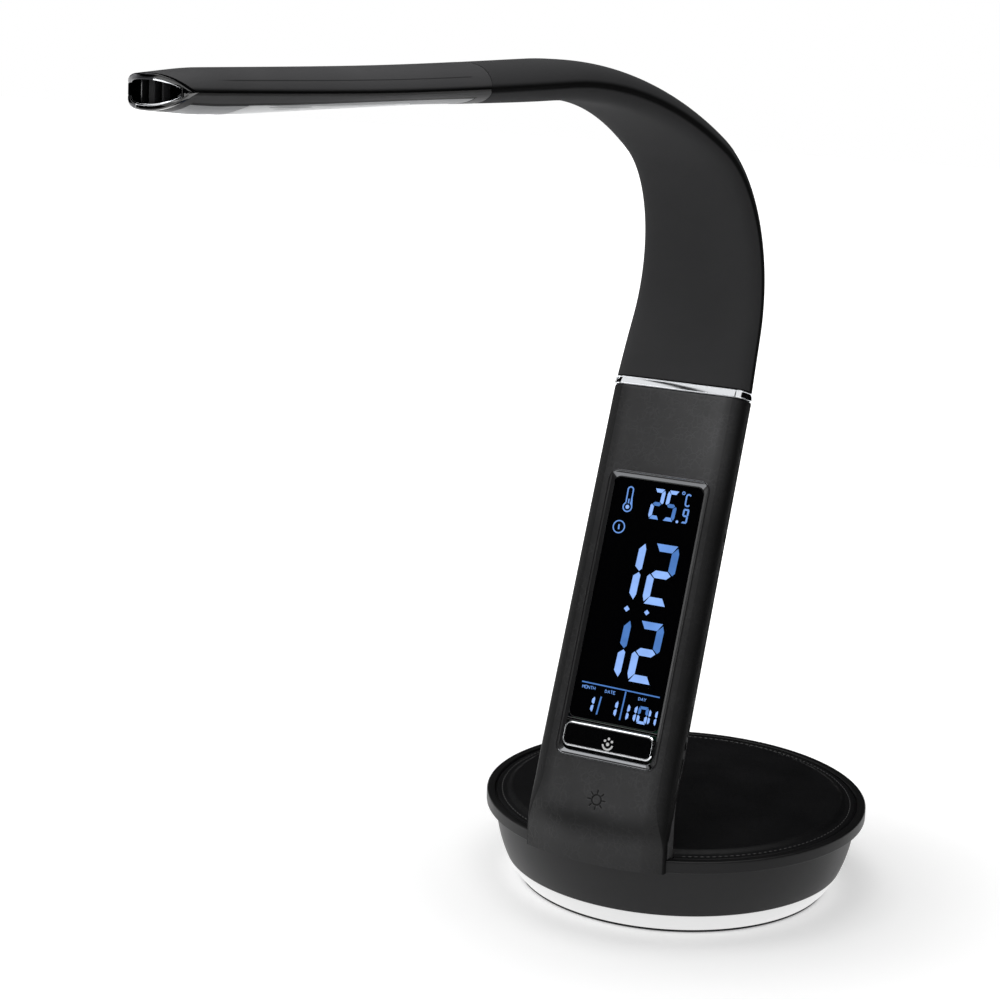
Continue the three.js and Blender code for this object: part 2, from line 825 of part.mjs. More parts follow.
// The stand narrows evenly from its foot to the chrome ring.
function standHalfWidth(height) {
  return THREE.MathUtils.lerp(standFootWidth, rootWidth, height / standLength) / 2;
}

// How far a rounded edge falls back at a place across the width.
function edgeFall(x, halfWidth, radius) {
  const past = Math.min(Math.max(0, Math.abs(x) - (halfWidth - radius)), radius);
  return radius - Math.sqrt(radius ** 2 - past ** 2);
}

const edgeShares = [0, 0.5, 0.87, 1];
const faceShares = [-0.8, -0.4, 0, 0.4, 0.8];

function crossings(halfWidth, radius) {
  const flat = halfWidth - radius;
  const right = edgeShares.map((share) => flat + radius * share);
  const left = right.map((x) => -x).reverse();
  return [...left, ...faceShares.map((share) => share * flat), ...right];
}

// A section of the stand at one level, moved in by an inset for the inside.
function footRing(z, inset, radius) {
  const outerHalf = standHalfWidth((z - rimTopZ) / Math.cos(lean));
  const halfWidth = outerHalf - inset;
  const edge = Math.max(radius - inset, gap);
  const xs = crossings(halfWidth, edge);
  const front = xs.map((x) => {
    const outerX = (x / halfWidth) * outerHalf;
    return new THREE.Vector3(x, standFrontY(outerX, z) + inset + edgeFall(x, halfWidth, edge), z);
  });
  const back = xs.map((x) => new THREE.Vector3(x, standBackY(z) - inset - edgeFall(x, halfWidth, edge), z));
  return [...front, ...back.reverse()];
}

function leaningRing(height, inset) {
  const halfWidth = standHalfWidth(height) - inset;
  const edge = standEdgeRadius - inset;
  const xs = crossings(halfWidth, edge);
  const front = xs.map((x) => onStand(x, inset + edgeFall(x, halfWidth, edge), height));
  const back = xs.map((x) => onStand(x, standThickness - inset - edgeFall(x, halfWidth, edge), height));
  return [...front, ...back.reverse()];
}

function standRings(inset, past) {
  const footLevels = stations(bandBottomZ - past, footBlendTopZ, rimWidth);
  const rings = footLevels.map((z) => {
    const t = THREE.MathUtils.smoothstep(z, rimTopZ + rimWidth, footBlendTopZ);
    return footRing(z, inset, THREE.MathUtils.lerp(footEdgeRadius, standEdgeRadius, t));
  });
  return [...rings, leaningRing(bezelBottom - gap, inset), leaningRing(standLength + past, inset)];
}

function standShell() {
  return toSolid(loft(standRings(0, 0))).subtract(toSolid(loft(standRings(standWall, overrun))));
}

// Everything behind the line where the rear cover meets the front.
function behindCoverLine(shift) {
  const far = standLength + rimRadius;
  const leaning = block([-rimRadius, coverDepth + shift, -far], [rimRadius, far, far]);
  leaning.rotateX(-lean).translate(0, standFootY, rimTopZ);
  const foot = block(
    [-rimRadius, coverFootY + shift, -rimTopZ],
    [rimRadius, rimRadius, coverFootTopZ],
  );
  return toSolid(leaning).add(toSolid(foot));
}

function displayOpening() {
  const opening = roundedPlate(
    bezelWidth / 2 + gap, bezelBottom - gap, bezelTop + gap, bezelCorner + gap, -overrun, standWall + overrun,
  );
  return toSolid(placedOnStand(opening));
}

function placedOnStand(geometry) {
  return geometry.rotateX(-lean).translate(0, standFootY, rimTopZ);
}

function makeStandFront() {
  const rim = toSolid(disc(rimRadius + gap, 0, rimTopZ + gap));
  return toGeometry(standShell().subtract(behindCoverLine(-gap / 2)).subtract(rim).subtract(displayOpening()));
}

function keyPlaces() {
  return Array.from({ length: keyCount }, (_, i) => keyFirstHeight + i * keyPitch);
}

// A round peg that stands into the back of the stand.
function rearPeg(radius, x, height, front, back) {
  const peg = disc(radius, front, back, smallSteps).rotateX(-Math.PI / 2);
  return placedOnStand(peg.translate(x, 0, height));
}

function makeStandBack() {
  const deck = toSolid(disc(rimRadius + gap, 0, deckTopZ + gap));
  const band = toSolid(annulus(rimRadius - sideGap, rimRadius + sideGap, 0, rimTopZ + gap));
  let solid = standShell().intersect(behindCoverLine(gap / 2)).subtract(deck).subtract(band);
  keyPlaces().forEach((height) => {
    solid = solid.subtract(toSolid(rearPeg(keyRadius + gap, keyX, height, coverDepth, standThickness + overrun)));
  });
  return toGeometry(solid);
}

function makeKey(height) {
  const inner = clockBoardBack + keySwitchHeight + keyTravel + gap;
  const outer = standThickness + keyProud;
  const flange = keyRadius + keyFlangeWidth;
  const neck = inner + keyFlangeThickness;
  const profile = [[0, inner], [flange, inner], [flange, neck], [keyRadius, neck], [keyRadius, outer], [0, outer]];
  return clean(placedOnStand(lathe(profile, smallSteps).rotateX(-Math.PI / 2).translate(keyX, 0, height)));
}

const windowHalfWidth = bezelWidth / 2 - bezelBorder;
const windowTop = bezelTop - bezelBorder;
const windowBack = windowInset + windowThickness;
const lcdBack = windowBack + gap + lcdThickness;
const backlightBack = lcdBack + gap + backlightThickness;
const clockBoardFront = backlightBack + gap;
const clockBoardBack = clockBoardFront + clockBoardThickness;

function makeBezel() {
  const outline = roundedOutline(new THREE.Shape(), bezelWidth / 2, bezelBottom, bezelTop, bezelCorner);
  outline.holes.push(roundedOutline(
    new THREE.Path(), windowHalfWidth + gap, windowBottom - gap, windowTop + gap, windowCorner,
  ));
  outline.holes.push(roundedOutline(
    new THREE.Path(), windowHalfWidth + gap, snoozeBottom - gap, snoozeTop + gap, windowCorner,
  ));
  return clean(placedOnStand(standPlate(outline, 0, bezelDepth)));
}

function makeWindow() {
  return clean(placedOnStand(roundedPlate(
    windowHalfWidth, windowBottom, windowTop, windowCorner, windowInset, windowBack,
  )));
}

function displayLayer(front, back) {
  return clean(placedOnStand(block(
    [-windowHalfWidth + lcdMargin, front, windowBottom + lcdMargin],
    [windowHalfWidth - lcdMargin, back, windowTop - lcdMargin],
  )));
}

function makeSnoozeBar() {
  const bar = toSolid(roundedPlate(
    windowHalfWidth, snoozeBottom, snoozeTop, windowCorner, -snoozeProud, snoozeDepth - snoozeProud,
  ));
  const middle = (snoozeBottom + snoozeTop) / 2;
  const stem = block(
    [-snoozeStemSize / 2, snoozeDepth - snoozeProud - gap, middle - snoozeStemSize / 2],
    [snoozeStemSize / 2, snoozeDepth - snoozeProud + snoozeStemLength, middle + snoozeStemSize / 2],
  );
  return clean(placedOnStand(toGeometry(bar.add(toSolid(stem)))));
}

function makeClockBoard() {
  let solid = toSolid(block(
    [-windowHalfWidth, clockBoardFront, snoozeBottom],
    [windowHalfWidth, clockBoardBack, windowTop],
  ));
  const middle = (snoozeBottom + snoozeTop) / 2;
  const switchFront = snoozeDepth - snoozeProud + snoozeStemLength + snoozeTravel + gap;
  solid = solid.add(toSolid(block(
    [-snoozeSwitchSize / 2, switchFront, middle - snoozeSwitchSize / 2],
    [snoozeSwitchSize / 2, clockBoardFront + gap, middle + snoozeSwitchSize / 2],
  )));
  keyPlaces().forEach((height) => {
    const keySwitch = block(
      [keyX - keyRadius, clockBoardBack - gap, height - keyRadius],
      [keyX + keyRadius, clockBoardBack + keySwitchHeight, height + keyRadius],
    );
    solid = solid.add(toSolid(keySwitch));
  });
  return clean(placedOnStand(toGeometry(solid)));
}

function makeTouchSensor() {
  return clean(rearPeg(touchRadius, 0, touchHeight, touchDepth, touchDepth + touchThickness));
}

function makeChromeRing() {
  const half = rootWidth / 2 + ringProud;
  const middle = standThickness / 2;
  const reach = rootHalf + ringProud;
  const shape = roundedOutline(new THREE.Shape(), half, middle - reach, middle + reach, rootHalf);
  shape.holes.push(roundedOutline(
    new THREE.Path(), socketWidth / 2 + gap,
    middle - socketThickness / 2 - gap, middle + socketThickness / 2 + gap, gap,
  ));
  const ring = new THREE.ExtrudeGeometry(shape, { depth: ringTall, bevelEnabled: false, curveSegments: 6 });
  return clean(placedOnStand(ring.translate(0, 0, ringHeight - ringTall / 2)));
}

function makeSocket() {
  const middle = standThickness / 2;
  const half = socketThickness / 2;
  let solid = toSolid(block(
    [-socketWidth / 2, middle - half, socketBottom],
    [socketWidth / 2, middle + half, socketTop],
  ));
  const slotHalf = spineThickness / 2 + gap;
  solid = solid.subtract(toSolid(block(
    [-spineWidth / 2 - gap, middle - slotHalf, ringHeight],
    [spineWidth / 2 + gap, middle + slotHalf, socketTop + overrun],
  )));
  return clean(placedOnStand(toGeometry(solid)));
}

// Neck pieces

function bendPlaces() {
  return Array.from({ length: bendCount }, (_, i) => firstBend + ((lastBend - firstBend) * i) / (bendCount - 1));
}

const neckPitch = 10;

// A stretch of sleeve, with its end towards the head either straight or along the head's seam.
function makeSleeve(from, to, toSeam) {
  const ringAt = (t, inset) => armRing((share) => {
    const end = toSeam ? seamAt(share) - seamGap : to;
    return from + (end - from) * t;
  }, inset);
  const steps = stations(0, 1, neckPitch / (to - from));
  const outer = steps.map((t) => ringAt(t, 0));
  const inner = steps.map((t) => ringAt(t, sleeveWall));
  return clean(thickSheet(outer, inner, true));
}

// A flat bar that follows the arm between two distances, near and far below its middle line.
function armBar(from, to, width, near, far) {
  const half = width / 2;
  return loft(stations(from, to, neckPitch).map((distance) => [
    onArm(distance, -half, -far), onArm(distance, half, -far),
    onArm(distance, half, -near), onArm(distance, -half, -near),
  ]));
}

function makeSpine(from, to) {
  return clean(armBar(from, to, spineWidth, -spineThickness / 2, spineThickness / 2));
}

// Head pieces

const headStart = seam + seamGap;
const headPitch = 16;

function headDistance(share, t) {
  const start = seamAt(share) + seamGap;
  return start + (noseAt(share) - trimWidth - gap - start) * t;
}

// One half of the head's housing, an open channel from the seam to the mouth.
function headShell(side) {
  const steps = stations(0, 1, headPitch / (nose - headStart));
  const row = (t, inset) => armRow((share) => headDistance(share, t), inset, side)
    .map((point) => point.add(lift(side)));
  return thickSheet(steps.map((t) => row(t, 0)), steps.map((t) => row(t, headWall)), false);
}

// The two halves keep half a gap each from the line between them.
function lift(side) {
  return new THREE.Vector3(0, 0, (side * gap) / 2);
}

const panelStart = headStart + seamBulge;
const panelLength = nose - panelNoseGap - panelStart;

function panelOutline(inset) {
  const half = panelWidth / 2 - inset;
  const outline = new THREE.Shape();
  outline.moveTo(-half, half);
  outline.absarc(0, half, half, Math.PI, 2 * Math.PI);
  outline.lineTo(half, panelLength - half - inset);
  outline.absarc(0, panelLength - half - inset, half, 0, Math.PI);
  return outline;
}

// A plate in the head's frame: its outline runs along the head, and out is below the middle line.
function headPlate(outline, from, nearOut, farOut) {
  const plate = new THREE.ExtrudeGeometry(outline, {
    depth: farOut - nearOut, bevelEnabled: false, curveSegments: 6,
  });
  const position = plate.getAttribute('position');
  for (let i = 0; i < position.count; i += 1) {
    const point = onArm(from + position.getY(i), position.getX(i), -(nearOut + position.getZ(i)));
    position.setXYZ(i, point.x, point.y, point.z);
  }
  return plate;
}

const panelOut = headLower - panelSink;

function makeHeadTop() {
  return clean(headShell(1));
}

function makeHeadBottom() {
  const window = headPlate(panelOutline(0), panelStart, headWall, headLower + overrun);
  return toGeometry(toSolid(headShell(-1)).subtract(toSolid(window)));
}

function makeLightPanel() {
  return clean(headPlate(panelOutline(gap), panelStart, panelOut - panelThickness, panelOut));
}

const stripStart = panelStart + seamBulge;
const stripEnd = panelStart + panelLength - seamBulge;

function makeLedBoard() {
  const front = ledBoardDepth + ledBoardThickness;
  let solid = toSolid(armBar(stripStart, stripEnd, ledBoardWidth, ledBoardDepth, front));
  const pitch = (stripEnd - stripStart) / headLedCount;
  for (let i = 0; i < headLedCount; i += 1) {
    const middle = stripStart + (i + 0.5) * pitch;
    const led = armBar(
      middle - headLedSize / 2, middle + headLedSize / 2, headLedSize, front - gap, front + headLedHeight,
    );
    solid = solid.add(toSolid(led));
  }
  return toGeometry(solid);
}

function makeSpreader() {
  const back = ledBoardDepth - gap;
  return clean(armBar(stripStart, stripEnd, spreaderWidth, back - spreaderThickness, back));
}

// The frame of the mouth continues the housing, with a tail that plugs into it.
function makeNoseTrim() {
  const ringAt = (back, inset) => armRing((share) => noseAt(share) - back, inset);
  const frontAt = (inset) => armRing((share) => {
    const blunt = 1 - Math.sqrt(Math.max(0, 1 - share * share));
    return noseAt(share) + trimCuspProud * blunt;
  }, inset);
  const tailBack = trimWidth + trimTail;
  const tailInset = headWall + gap;
  const outer = [
    ringAt(tailBack, tailInset), ringAt(trimWidth, tailInset), ringAt(trimWidth, 0), frontAt(0),
  ];
  const bore = tailInset + trimWall;
  const inner = [ringAt(tailBack, bore), ringAt(trimWidth, bore), ringAt(trimWidth / 2, bore), frontAt(trimLip)];
  return clean(thickSheet(outer, inner, true));
}

// The dark insert closes the mouth a little behind its frame.
function makeNosePlug() {
  const inset = headWall + gap + trimWall + gap;
  const rings = [nose + plugFront, nose + plugFront - plugLength].map(
    (distance) => armRing(() => distance, inset),
  );
  return clean(loft(rings));
}

// Assembly

const lamp = new THREE.Group();
lamp.name = 'desk_lamp';
const baseGroup = new THREE.Group();
const standGroup = new THREE.Group();
const neckGroup = new THREE.Group();
const headGroup = new THREE.Group();
lamp.add(baseGroup, standGroup, neckGroup, headGroup);

function addPiece(group, name, geometry, material) {
  const mesh = new THREE.Mesh(geometry, material());
  mesh.name = name;
  group.add(mesh);
}

function buildBase() {
  addPiece(baseGroup, 'sole', makeSole(), finishes.rubber);
  addPiece(baseGroup, 'bottom_plate', makePlate(), finishes.satinBlack);
  postPlaces().forEach((place, i) => {
    addPiece(baseGroup, `base_screw_${i + 1}`, makeBaseScrew(place), finishes.steel);
  });
  addPiece(baseGroup, 'light_ring', makeLightRing(), finishes.whiteDiffuser);
  addPiece(baseGroup, 'light_ring_board', makeLedRing(), finishes.board);
  addPiece(baseGroup, 'skirt', makeSkirt(), finishes.satinBlack);
  addPiece(baseGroup, 'rim_tray', makeTray(), finishes.satinBlack);
  addPiece(baseGroup, 'pad_board', makePadBoard(), finishes.fibreBoard);
  addPiece(baseGroup, 'leatherette_pad', makePad(), finishes.padLeather);
  addPiece(baseGroup, 'ballast_weight', makeBallast(), finishes.iron);
  addPiece(baseGroup, 'mounting_block', makeMountingBlock(), finishes.iron);
  bracketScrewPlaces().forEach((place, i) => {
    addPiece(baseGroup, `bracket_screw_${i + 1}`, makeBracketScrew(place), finishes.steel);
  });
  addPiece(baseGroup, 'power_board', makePowerBoard(), finishes.board);
  addPiece(baseGroup, 'backup_cell', makeCell(), finishes.steel);
  addPiece(baseGroup, 'alarm_sounder', makeSounder(), finishes.satinBlack);
  addPiece(baseGroup, 'dc_inlet', makeJack(), finishes.glossBlack);
}

function buildStand() {
  addPiece(standGroup, 'stand_bracket', makeBracket(), finishes.steel);
  addPiece(standGroup, 'stand_front', makeStandFront(), finishes.leatherette);
  addPiece(standGroup, 'stand_back', makeStandBack(), finishes.leatherette);
  addPiece(standGroup, 'display_frame', makeBezel(), finishes.frameGrey);
  addPiece(standGroup, 'display_window', makeWindow(), finishes.glossBlack);
  addPiece(standGroup, 'display_glass', displayLayer(windowBack + gap, lcdBack), finishes.displayBlue);
  addPiece(standGroup, 'display_backlight', displayLayer(lcdBack + gap, backlightBack), finishes.whiteDiffuser);
  addPiece(standGroup, 'clock_board', makeClockBoard(), finishes.board);
  addPiece(standGroup, 'snooze_bar', makeSnoozeBar(), finishes.glossBlack);
  addPiece(standGroup, 'touch_sensor', makeTouchSensor(), finishes.copper);
  keyPlaces().forEach((height, i) => {
    addPiece(standGroup, `clock_key_${i + 1}`, makeKey(height), finishes.satinBlack);
  });
  addPiece(standGroup, 'chrome_ring', makeChromeRing(), finishes.chrome);
  addPiece(standGroup, 'neck_socket', makeSocket(), finishes.satinBlack);
}

function buildNeck() {
  const places = bendPlaces();
  const half = bendGap / 2;
  const spineHalf = spineEndGap / 2;
  addPiece(neckGroup, 'sleeve_root', makeSleeve(sleeveStart, places[0] - half, false), finishes.softSleeve);
  addPiece(neckGroup, 'spine_root', makeSpine(sleeveStart, places[0] - spineHalf), finishes.steel);
  for (let i = 0; i < bendCount - 1; i += 1) {
    const from = places[i];
    const to = places[i + 1];
    addPiece(neckGroup, `sleeve_${i + 1}`, makeSleeve(from + half, to - half, false), finishes.softSleeve);
    addPiece(neckGroup, `spine_${i + 1}`, makeSpine(from + spineHalf, to - spineHalf), finishes.steel);
  }
  addPiece(neckGroup, 'sleeve_tip', makeSleeve(lastBend + half, seam, true), finishes.softSleeve);
  addPiece(neckGroup, 'spine_tip', makeSpine(lastBend + spineHalf, seam + seamBulge), finishes.steel);
}

function buildHead() {
  addPiece(headGroup, 'head_top', makeHeadTop(), finishes.satinBlack);
  addPiece(headGroup, 'head_bottom', makeHeadBottom(), finishes.satinBlack);
  addPiece(headGroup, 'light_panel', makeLightPanel(), finishes.panelSilver);
  addPiece(headGroup, 'head_led_board', makeLedBoard(), finishes.board);
  addPiece(headGroup, 'heat_spreader', makeSpreader(), finishes.steel);
  addPiece(headGroup, 'nose_trim', makeNoseTrim(), finishes.chrome);
  addPiece(headGroup, 'nose_plug', makeNosePlug(), finishes.glossBlack);
}

buildBase();
buildStand();
buildNeck();
buildHead();

export default lamp;
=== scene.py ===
"""Desk lamp with a clock display: its finished look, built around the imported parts.

Sizes are in millimetres and become metres when a mesh is made. Base, stand, neck and head
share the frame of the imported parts: the origin is the centre of the base's underside, +Z is
up and the display faces -Y.
"""

import logging
import math
from dataclasses import dataclass, replace
from enum import Enum
from typing import Callable, Optional, Sequence, Union

import bmesh
import bpy
import numpy as np
from mathutils import Matrix


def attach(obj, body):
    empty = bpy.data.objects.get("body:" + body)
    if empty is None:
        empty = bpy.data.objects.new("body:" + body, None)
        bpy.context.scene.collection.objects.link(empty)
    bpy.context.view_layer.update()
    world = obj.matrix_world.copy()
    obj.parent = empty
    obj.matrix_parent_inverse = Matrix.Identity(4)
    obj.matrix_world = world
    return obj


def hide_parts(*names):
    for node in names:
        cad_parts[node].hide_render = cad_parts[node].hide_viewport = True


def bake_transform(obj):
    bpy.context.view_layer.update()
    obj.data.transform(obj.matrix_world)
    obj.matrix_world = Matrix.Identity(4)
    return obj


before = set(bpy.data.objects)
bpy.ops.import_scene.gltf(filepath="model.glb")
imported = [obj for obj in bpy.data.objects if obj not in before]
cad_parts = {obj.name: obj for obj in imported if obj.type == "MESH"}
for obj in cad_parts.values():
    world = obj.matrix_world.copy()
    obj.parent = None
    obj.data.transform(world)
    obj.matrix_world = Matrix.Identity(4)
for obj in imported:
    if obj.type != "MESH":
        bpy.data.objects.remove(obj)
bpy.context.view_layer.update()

MM = 0.001
MELD = 0.001 * MM
GAP = 0.3
NO_WIDTH = 0.02
SHARP_TURN = 38.0
SOFT_TURN = 50.0
FULL_TURN = 2.0 * math.pi
CLOUD_FROM, CLOUD_TO = 0.3, 0.7
STEEP = 0.99
WHITE = (1.0, 1.0, 1.0, 1.0)
log = logging.getLogger("desk_lamp")

Point2 = tuple[float, float]
Point3 = tuple[float, float, float]
Amount = Union[float, np.ndarray]
Value = Union[float, int, bool, tuple, bpy.types.NodeSocket, bpy.types.Material]


# Small sums


def smoothstep(value: np.ndarray, low: float, high: float) -> np.ndarray:
    """A smooth rise from 0 at low to 1 at high."""
    t = np.clip((np.asarray(value, float) - low) / (high - low), 0.0, 1.0)
    return t * t * (3.0 - 2.0 * t)


def linear(level: float) -> float:
    """A screen level from 0 to 255 as the light it stands for."""
    share = level / 255.0
    return share / 12.92 if share <= 0.04045 else ((share + 0.055) / 1.055) ** 2.4


def soften(profile: Sequence[Point2], radii: dict[int, float], steps: int = 5) -> list[Point2]:
    """Rounds chosen corners of an outline.

    Args:
        profile: Corner points in order.
        radii: Rounding radius for each corner that has one, by its place in the profile.
        steps: Steps in each rounding.

    Returns:
        The outline with arcs in place of those corners.
    """
    made: list[Point2] = []
    count = len(profile)
    for i, corner in enumerate(profile):
        radius = radii.get(i, 0.0)
        if radius <= 0.0:
            made.append(corner)
            continue
        here = np.array(corner)
        before = np.array(profile[i - 1]) - here
        after = np.array(profile[(i + 1) % count]) - here
        before, after = before / np.linalg.norm(before), after / np.linalg.norm(after)
        half = math.acos(float(np.clip(before @ after, -1.0, 1.0))) / 2.0
        reach = radius / math.tan(half)
        middle = here + (before + after) / np.linalg.norm(before + after) * radius / math.sin(half)
        start, end = here + before * reach - middle, here + after * reach - middle
        swept = math.pi - 2.0 * half
        for k in range(steps + 1):
            t = k / steps
            turned = (start * math.sin((1.0 - t) * swept) + end * math.sin(t * swept)) / math.sin(swept)
            made.append(tuple(middle + turned))
    return made


def rounded_outline(half: float, low: float, high: float, corner: float, steps: int = 8) -> np.ndarray:
    """Points round a rectangle with round corners, centred across.

    Args:
        half: Half of the width.
        low: Its lower edge.
        high: Its upper edge.
        corner: Corner radius.
        steps: Steps in each corner.

    Returns:
        An array of points, across and along.
    """
    corner = max(corner, NO_WIDTH)
    centres = [(half - corner, low + corner), (half - corner, high - corner)]
    centres += [(-half + corner, high - corner), (-half + corner, low + corner)]
    points = []
    for i, (x, y) in enumerate(centres):
        for k in range(steps + 1):
            turn = math.pi / 2.0 * (i - 1 + k / steps)
            points.append((x + corner * math.cos(turn), y + corner * math.sin(turn)))
    return np.array(points)


# Trees of nodes


class Graph:
    """Adds nodes to a tree and wires them, one call for each node."""

    def __init__(self, tree: bpy.types.NodeTree) -> None:
        """Keeps the tree that nodes are added to."""
        self.tree = tree

    def add(self, kind: str, inputs: Optional[dict] = None, **settings: object) -> bpy.types.Node:
        """Adds one node.

        Args:
            kind: The node's type.
            inputs: Its sockets' values, or the sockets that feed them, by name or place.
            settings: Its own settings.

        Returns:
            The new node.
        """
        node = self.tree.nodes.new(kind)
        for key, value in settings.items():
            setattr(node, key, value)
        for key, value in (inputs or {}).items():
            socket = node.inputs[key]
            if isinstance(value, bpy.types.NodeSocket):
                self.tree.links.new(value, socket)
            else:
                socket.default_value = value
        return node

    def out(self, kind: str, inputs: Optional[dict] = None, **settings: object) -> bpy.types.NodeSocket:
        """Adds one node and gives its first result."""
        return self.add(kind, inputs, **settings).outputs[0]

    def reckon(self, kind: str, first: Value, second: Value = 0.0) -> bpy.types.NodeSocket:
        """The result of one Math node."""
        return self.out("ShaderNodeMath", {0: first, 1: second}, operation=kind)

    def spread(
        self, value: Value, low: float, high: float, to_low: float, to_high: float,
    ) -> bpy.types.NodeSocket:
        """The result of one Map Range node that goes from low..high to to_low..to_high."""
        return self.out("ShaderNodeMapRange", {0: value, 1: low, 2: high, 3: to_low, 4: to_high})


class Grain(Enum):
    """The fine relief that a surface carries."""

    MOULDED = "moulded"
    CREASED = "creased"
    BRUSHED = "brushed"
    BOARD = "board"


@dataclass(frozen=True)
class Finish:
    """One finish: its colour, how it scatters light and its fine relief, with sizes in millimetres."""

    name: str
    colour: Point3
    roughness: float
    metallic: float = 0.0
    specular: float = 0.5
    coat: float = 0.0
    grain: Grain = Grain.MOULDED
    grain_size: float = 0.5
    grain_depth: float = 0.01
    mottle: float = 0.06
    mottle_size: float = 35.0
    roughness_spread: float = 0.04
    mark_shade: float = 1.0
    crease_shade: float = 1.0
    glow: float = 0.0
    coat_roughness: float = 0.05
    brushed_stretch: float = 0.04
    board_pitch: float = 9.0
    board_track: float = 0.03
    board_shade: float = 1.6
    crease_bend_share: float = 0.3
    crease_bend: float = 3.2
    crease_cell_share: float = 0.5
    crease_width: float = 0.12
    crease_break_share: float = 0.2
    crease_break: Point2 = (0.42, 0.6)
    crease_grain: float = 0.5

    def light(self) -> tuple[float, float, float, float]:
        """The colour as light, with full cover."""
        red, green, blue = (linear(level) for level in self.colour)
        return (red, green, blue, 1.0)

    def material(self) -> bpy.types.Material:
        """Makes the material, or finds it when it is there already.

        Returns:
            The material.
        """
        title = f"finish_{self.name}"
        found = bpy.data.materials.get(title)
        if found:
            return found
        made = bpy.data.materials.new(title)
        made.use_nodes = True
        graph = Graph(made.node_tree)
        shader = made.node_tree.nodes["Principled BSDF"]
        shader.inputs["Metallic"].default_value = self.metallic
        shader.inputs["Specular IOR Level"].default_value = self.specular
        shader.inputs["Coat Weight"].default_value = self.coat
        shader.inputs["Coat Roughness"].default_value = self.coat_roughness
        links = made.node_tree.links
        place = graph.add("ShaderNodeTexCoord").outputs["Object"]
        light = self.light()
        base = tuple(level * (1.0 - self.glow) for level in light[:3]) + (1.0,)
        shader.inputs["Base Color"].default_value = base
        shader.inputs["Roughness"].default_value = self.roughness
        scale = 1.0 / (self.mottle_size * MM)
        cloud = graph.out("ShaderNodeTexNoise", {"Vector": place, "Scale": scale, "Detail": 3.0})
        if self.grain_depth > 0.0:
            height, crease = self._relief(graph, place)
            depth = self.grain_depth * MM
            bump = graph.out("ShaderNodeBump", {"Height": height, "Distance": depth, "Strength": 1.0})
            links.new(bump, shader.inputs["Normal"])
        if self.mottle > 0.0:
            shade = graph.spread(cloud, CLOUD_FROM, CLOUD_TO, 1.0 - self.mottle, 1.0 + self.mottle)
            if self.grain_depth > 0.0:
                shade = graph.reckon("MULTIPLY", shade, crease)
            # The mark attribute darkens the colour: pressed and printed marks, and painted shade
            if self.mark_shade != 1.0:
                mark = graph.add("ShaderNodeAttribute", attribute_name="mark").outputs["Fac"]
                shade = graph.reckon("MULTIPLY", shade, graph.spread(mark, 0.0, 1.0, 1.0, self.mark_shade))
            links.new(self._shaded(graph, base, shade), shader.inputs["Base Color"])
            if self.glow > 0.0:
                links.new(self._shaded(graph, light, shade), shader.inputs["Emission Color"])
                shader.inputs["Emission Strength"].default_value = self.glow
        if self.roughness_spread > 0.0:
            low, high = self.roughness - self.roughness_spread, self.roughness + self.roughness_spread
            rough = graph.spread(cloud, CLOUD_FROM, CLOUD_TO, max(low, 0.0), high)
            links.new(rough, shader.inputs["Roughness"])
        return made

    @staticmethod
    def _shaded(graph: Graph, colour: tuple, shade: bpy.types.NodeSocket) -> bpy.types.NodeSocket:
        """A colour made lighter or darker by a share."""
        ends = {0: 1.0, 6: colour, 7: shade}
        return graph.add("ShaderNodeMix", ends, data_type="RGBA", blend_type="MULTIPLY").outputs[2]

    def _relief(self, graph: Graph, place: bpy.types.NodeSocket) -> tuple[bpy.types.NodeSocket, Value]:
        """The relief's height and the shade that its low places take, painted shade in creases where
        crease_shade is below one.

        Args:
            graph: The material's tree.
            place: The coordinates to read.

        Returns:
            A height from 0 to 1, and a share of the colour.
        """
        scale = 1.0 / (self.grain_size * MM)
        if self.grain is Grain.BRUSHED:
            stretch = (self.brushed_stretch, 1.0, 1.0)
            place = graph.out("ShaderNodeMapping", {"Vector": place, "Scale": stretch})
        noise = graph.out("ShaderNodeTexNoise", {"Vector": place, "Scale": scale, "Detail": 2.0})
        if self.grain is Grain.BOARD:
            pitch = 1.0 / (self.board_pitch * MM)
            wall = {"Vector": place, "Scale": pitch, "Mortar Size": self.board_track}
            tracks = graph.add("ShaderNodeTexBrick", wall).outputs["Fac"]
            return tracks, graph.spread(tracks, 0.0, 1.0, 1.0, self.board_shade)
        if self.grain is not Grain.CREASED:
            return noise, 1.0
        wander = {"Vector": place, "Scale": scale * self.crease_bend_share, "Detail": 3.0}
        bent = graph.add("ShaderNodeTexNoise", wander).outputs["Color"]
        reach = (self.crease_bend * self.grain_size * MM,) * 3
        offset = graph.out("ShaderNodeVectorMath", {0: bent, 1: reach}, operation="MULTIPLY")
        moved = graph.out("ShaderNodeVectorMath", {0: place, 1: offset}, operation="ADD")
        cells = {"Vector": moved, "Scale": scale * self.crease_cell_share}
        away = graph.out("ShaderNodeTexVoronoi", cells, feature="DISTANCE_TO_EDGE")
        gaps = {"Vector": place, "Scale": scale * self.crease_break_share, "Detail": 1.0}
        kept = graph.spread(graph.out("ShaderNodeTexNoise", gaps), *self.crease_break, 0.0, 1.0)
        crease = graph.reckon("MAXIMUM", graph.spread(away, 0.0, self.crease_width, 0.0, 1.0), kept)
        height = graph.reckon("ADD", crease, graph.reckon("MULTIPLY", noise, self.crease_grain))
        return height, graph.spread(crease, 0.0, 1.0, self.crease_shade, 1.0)


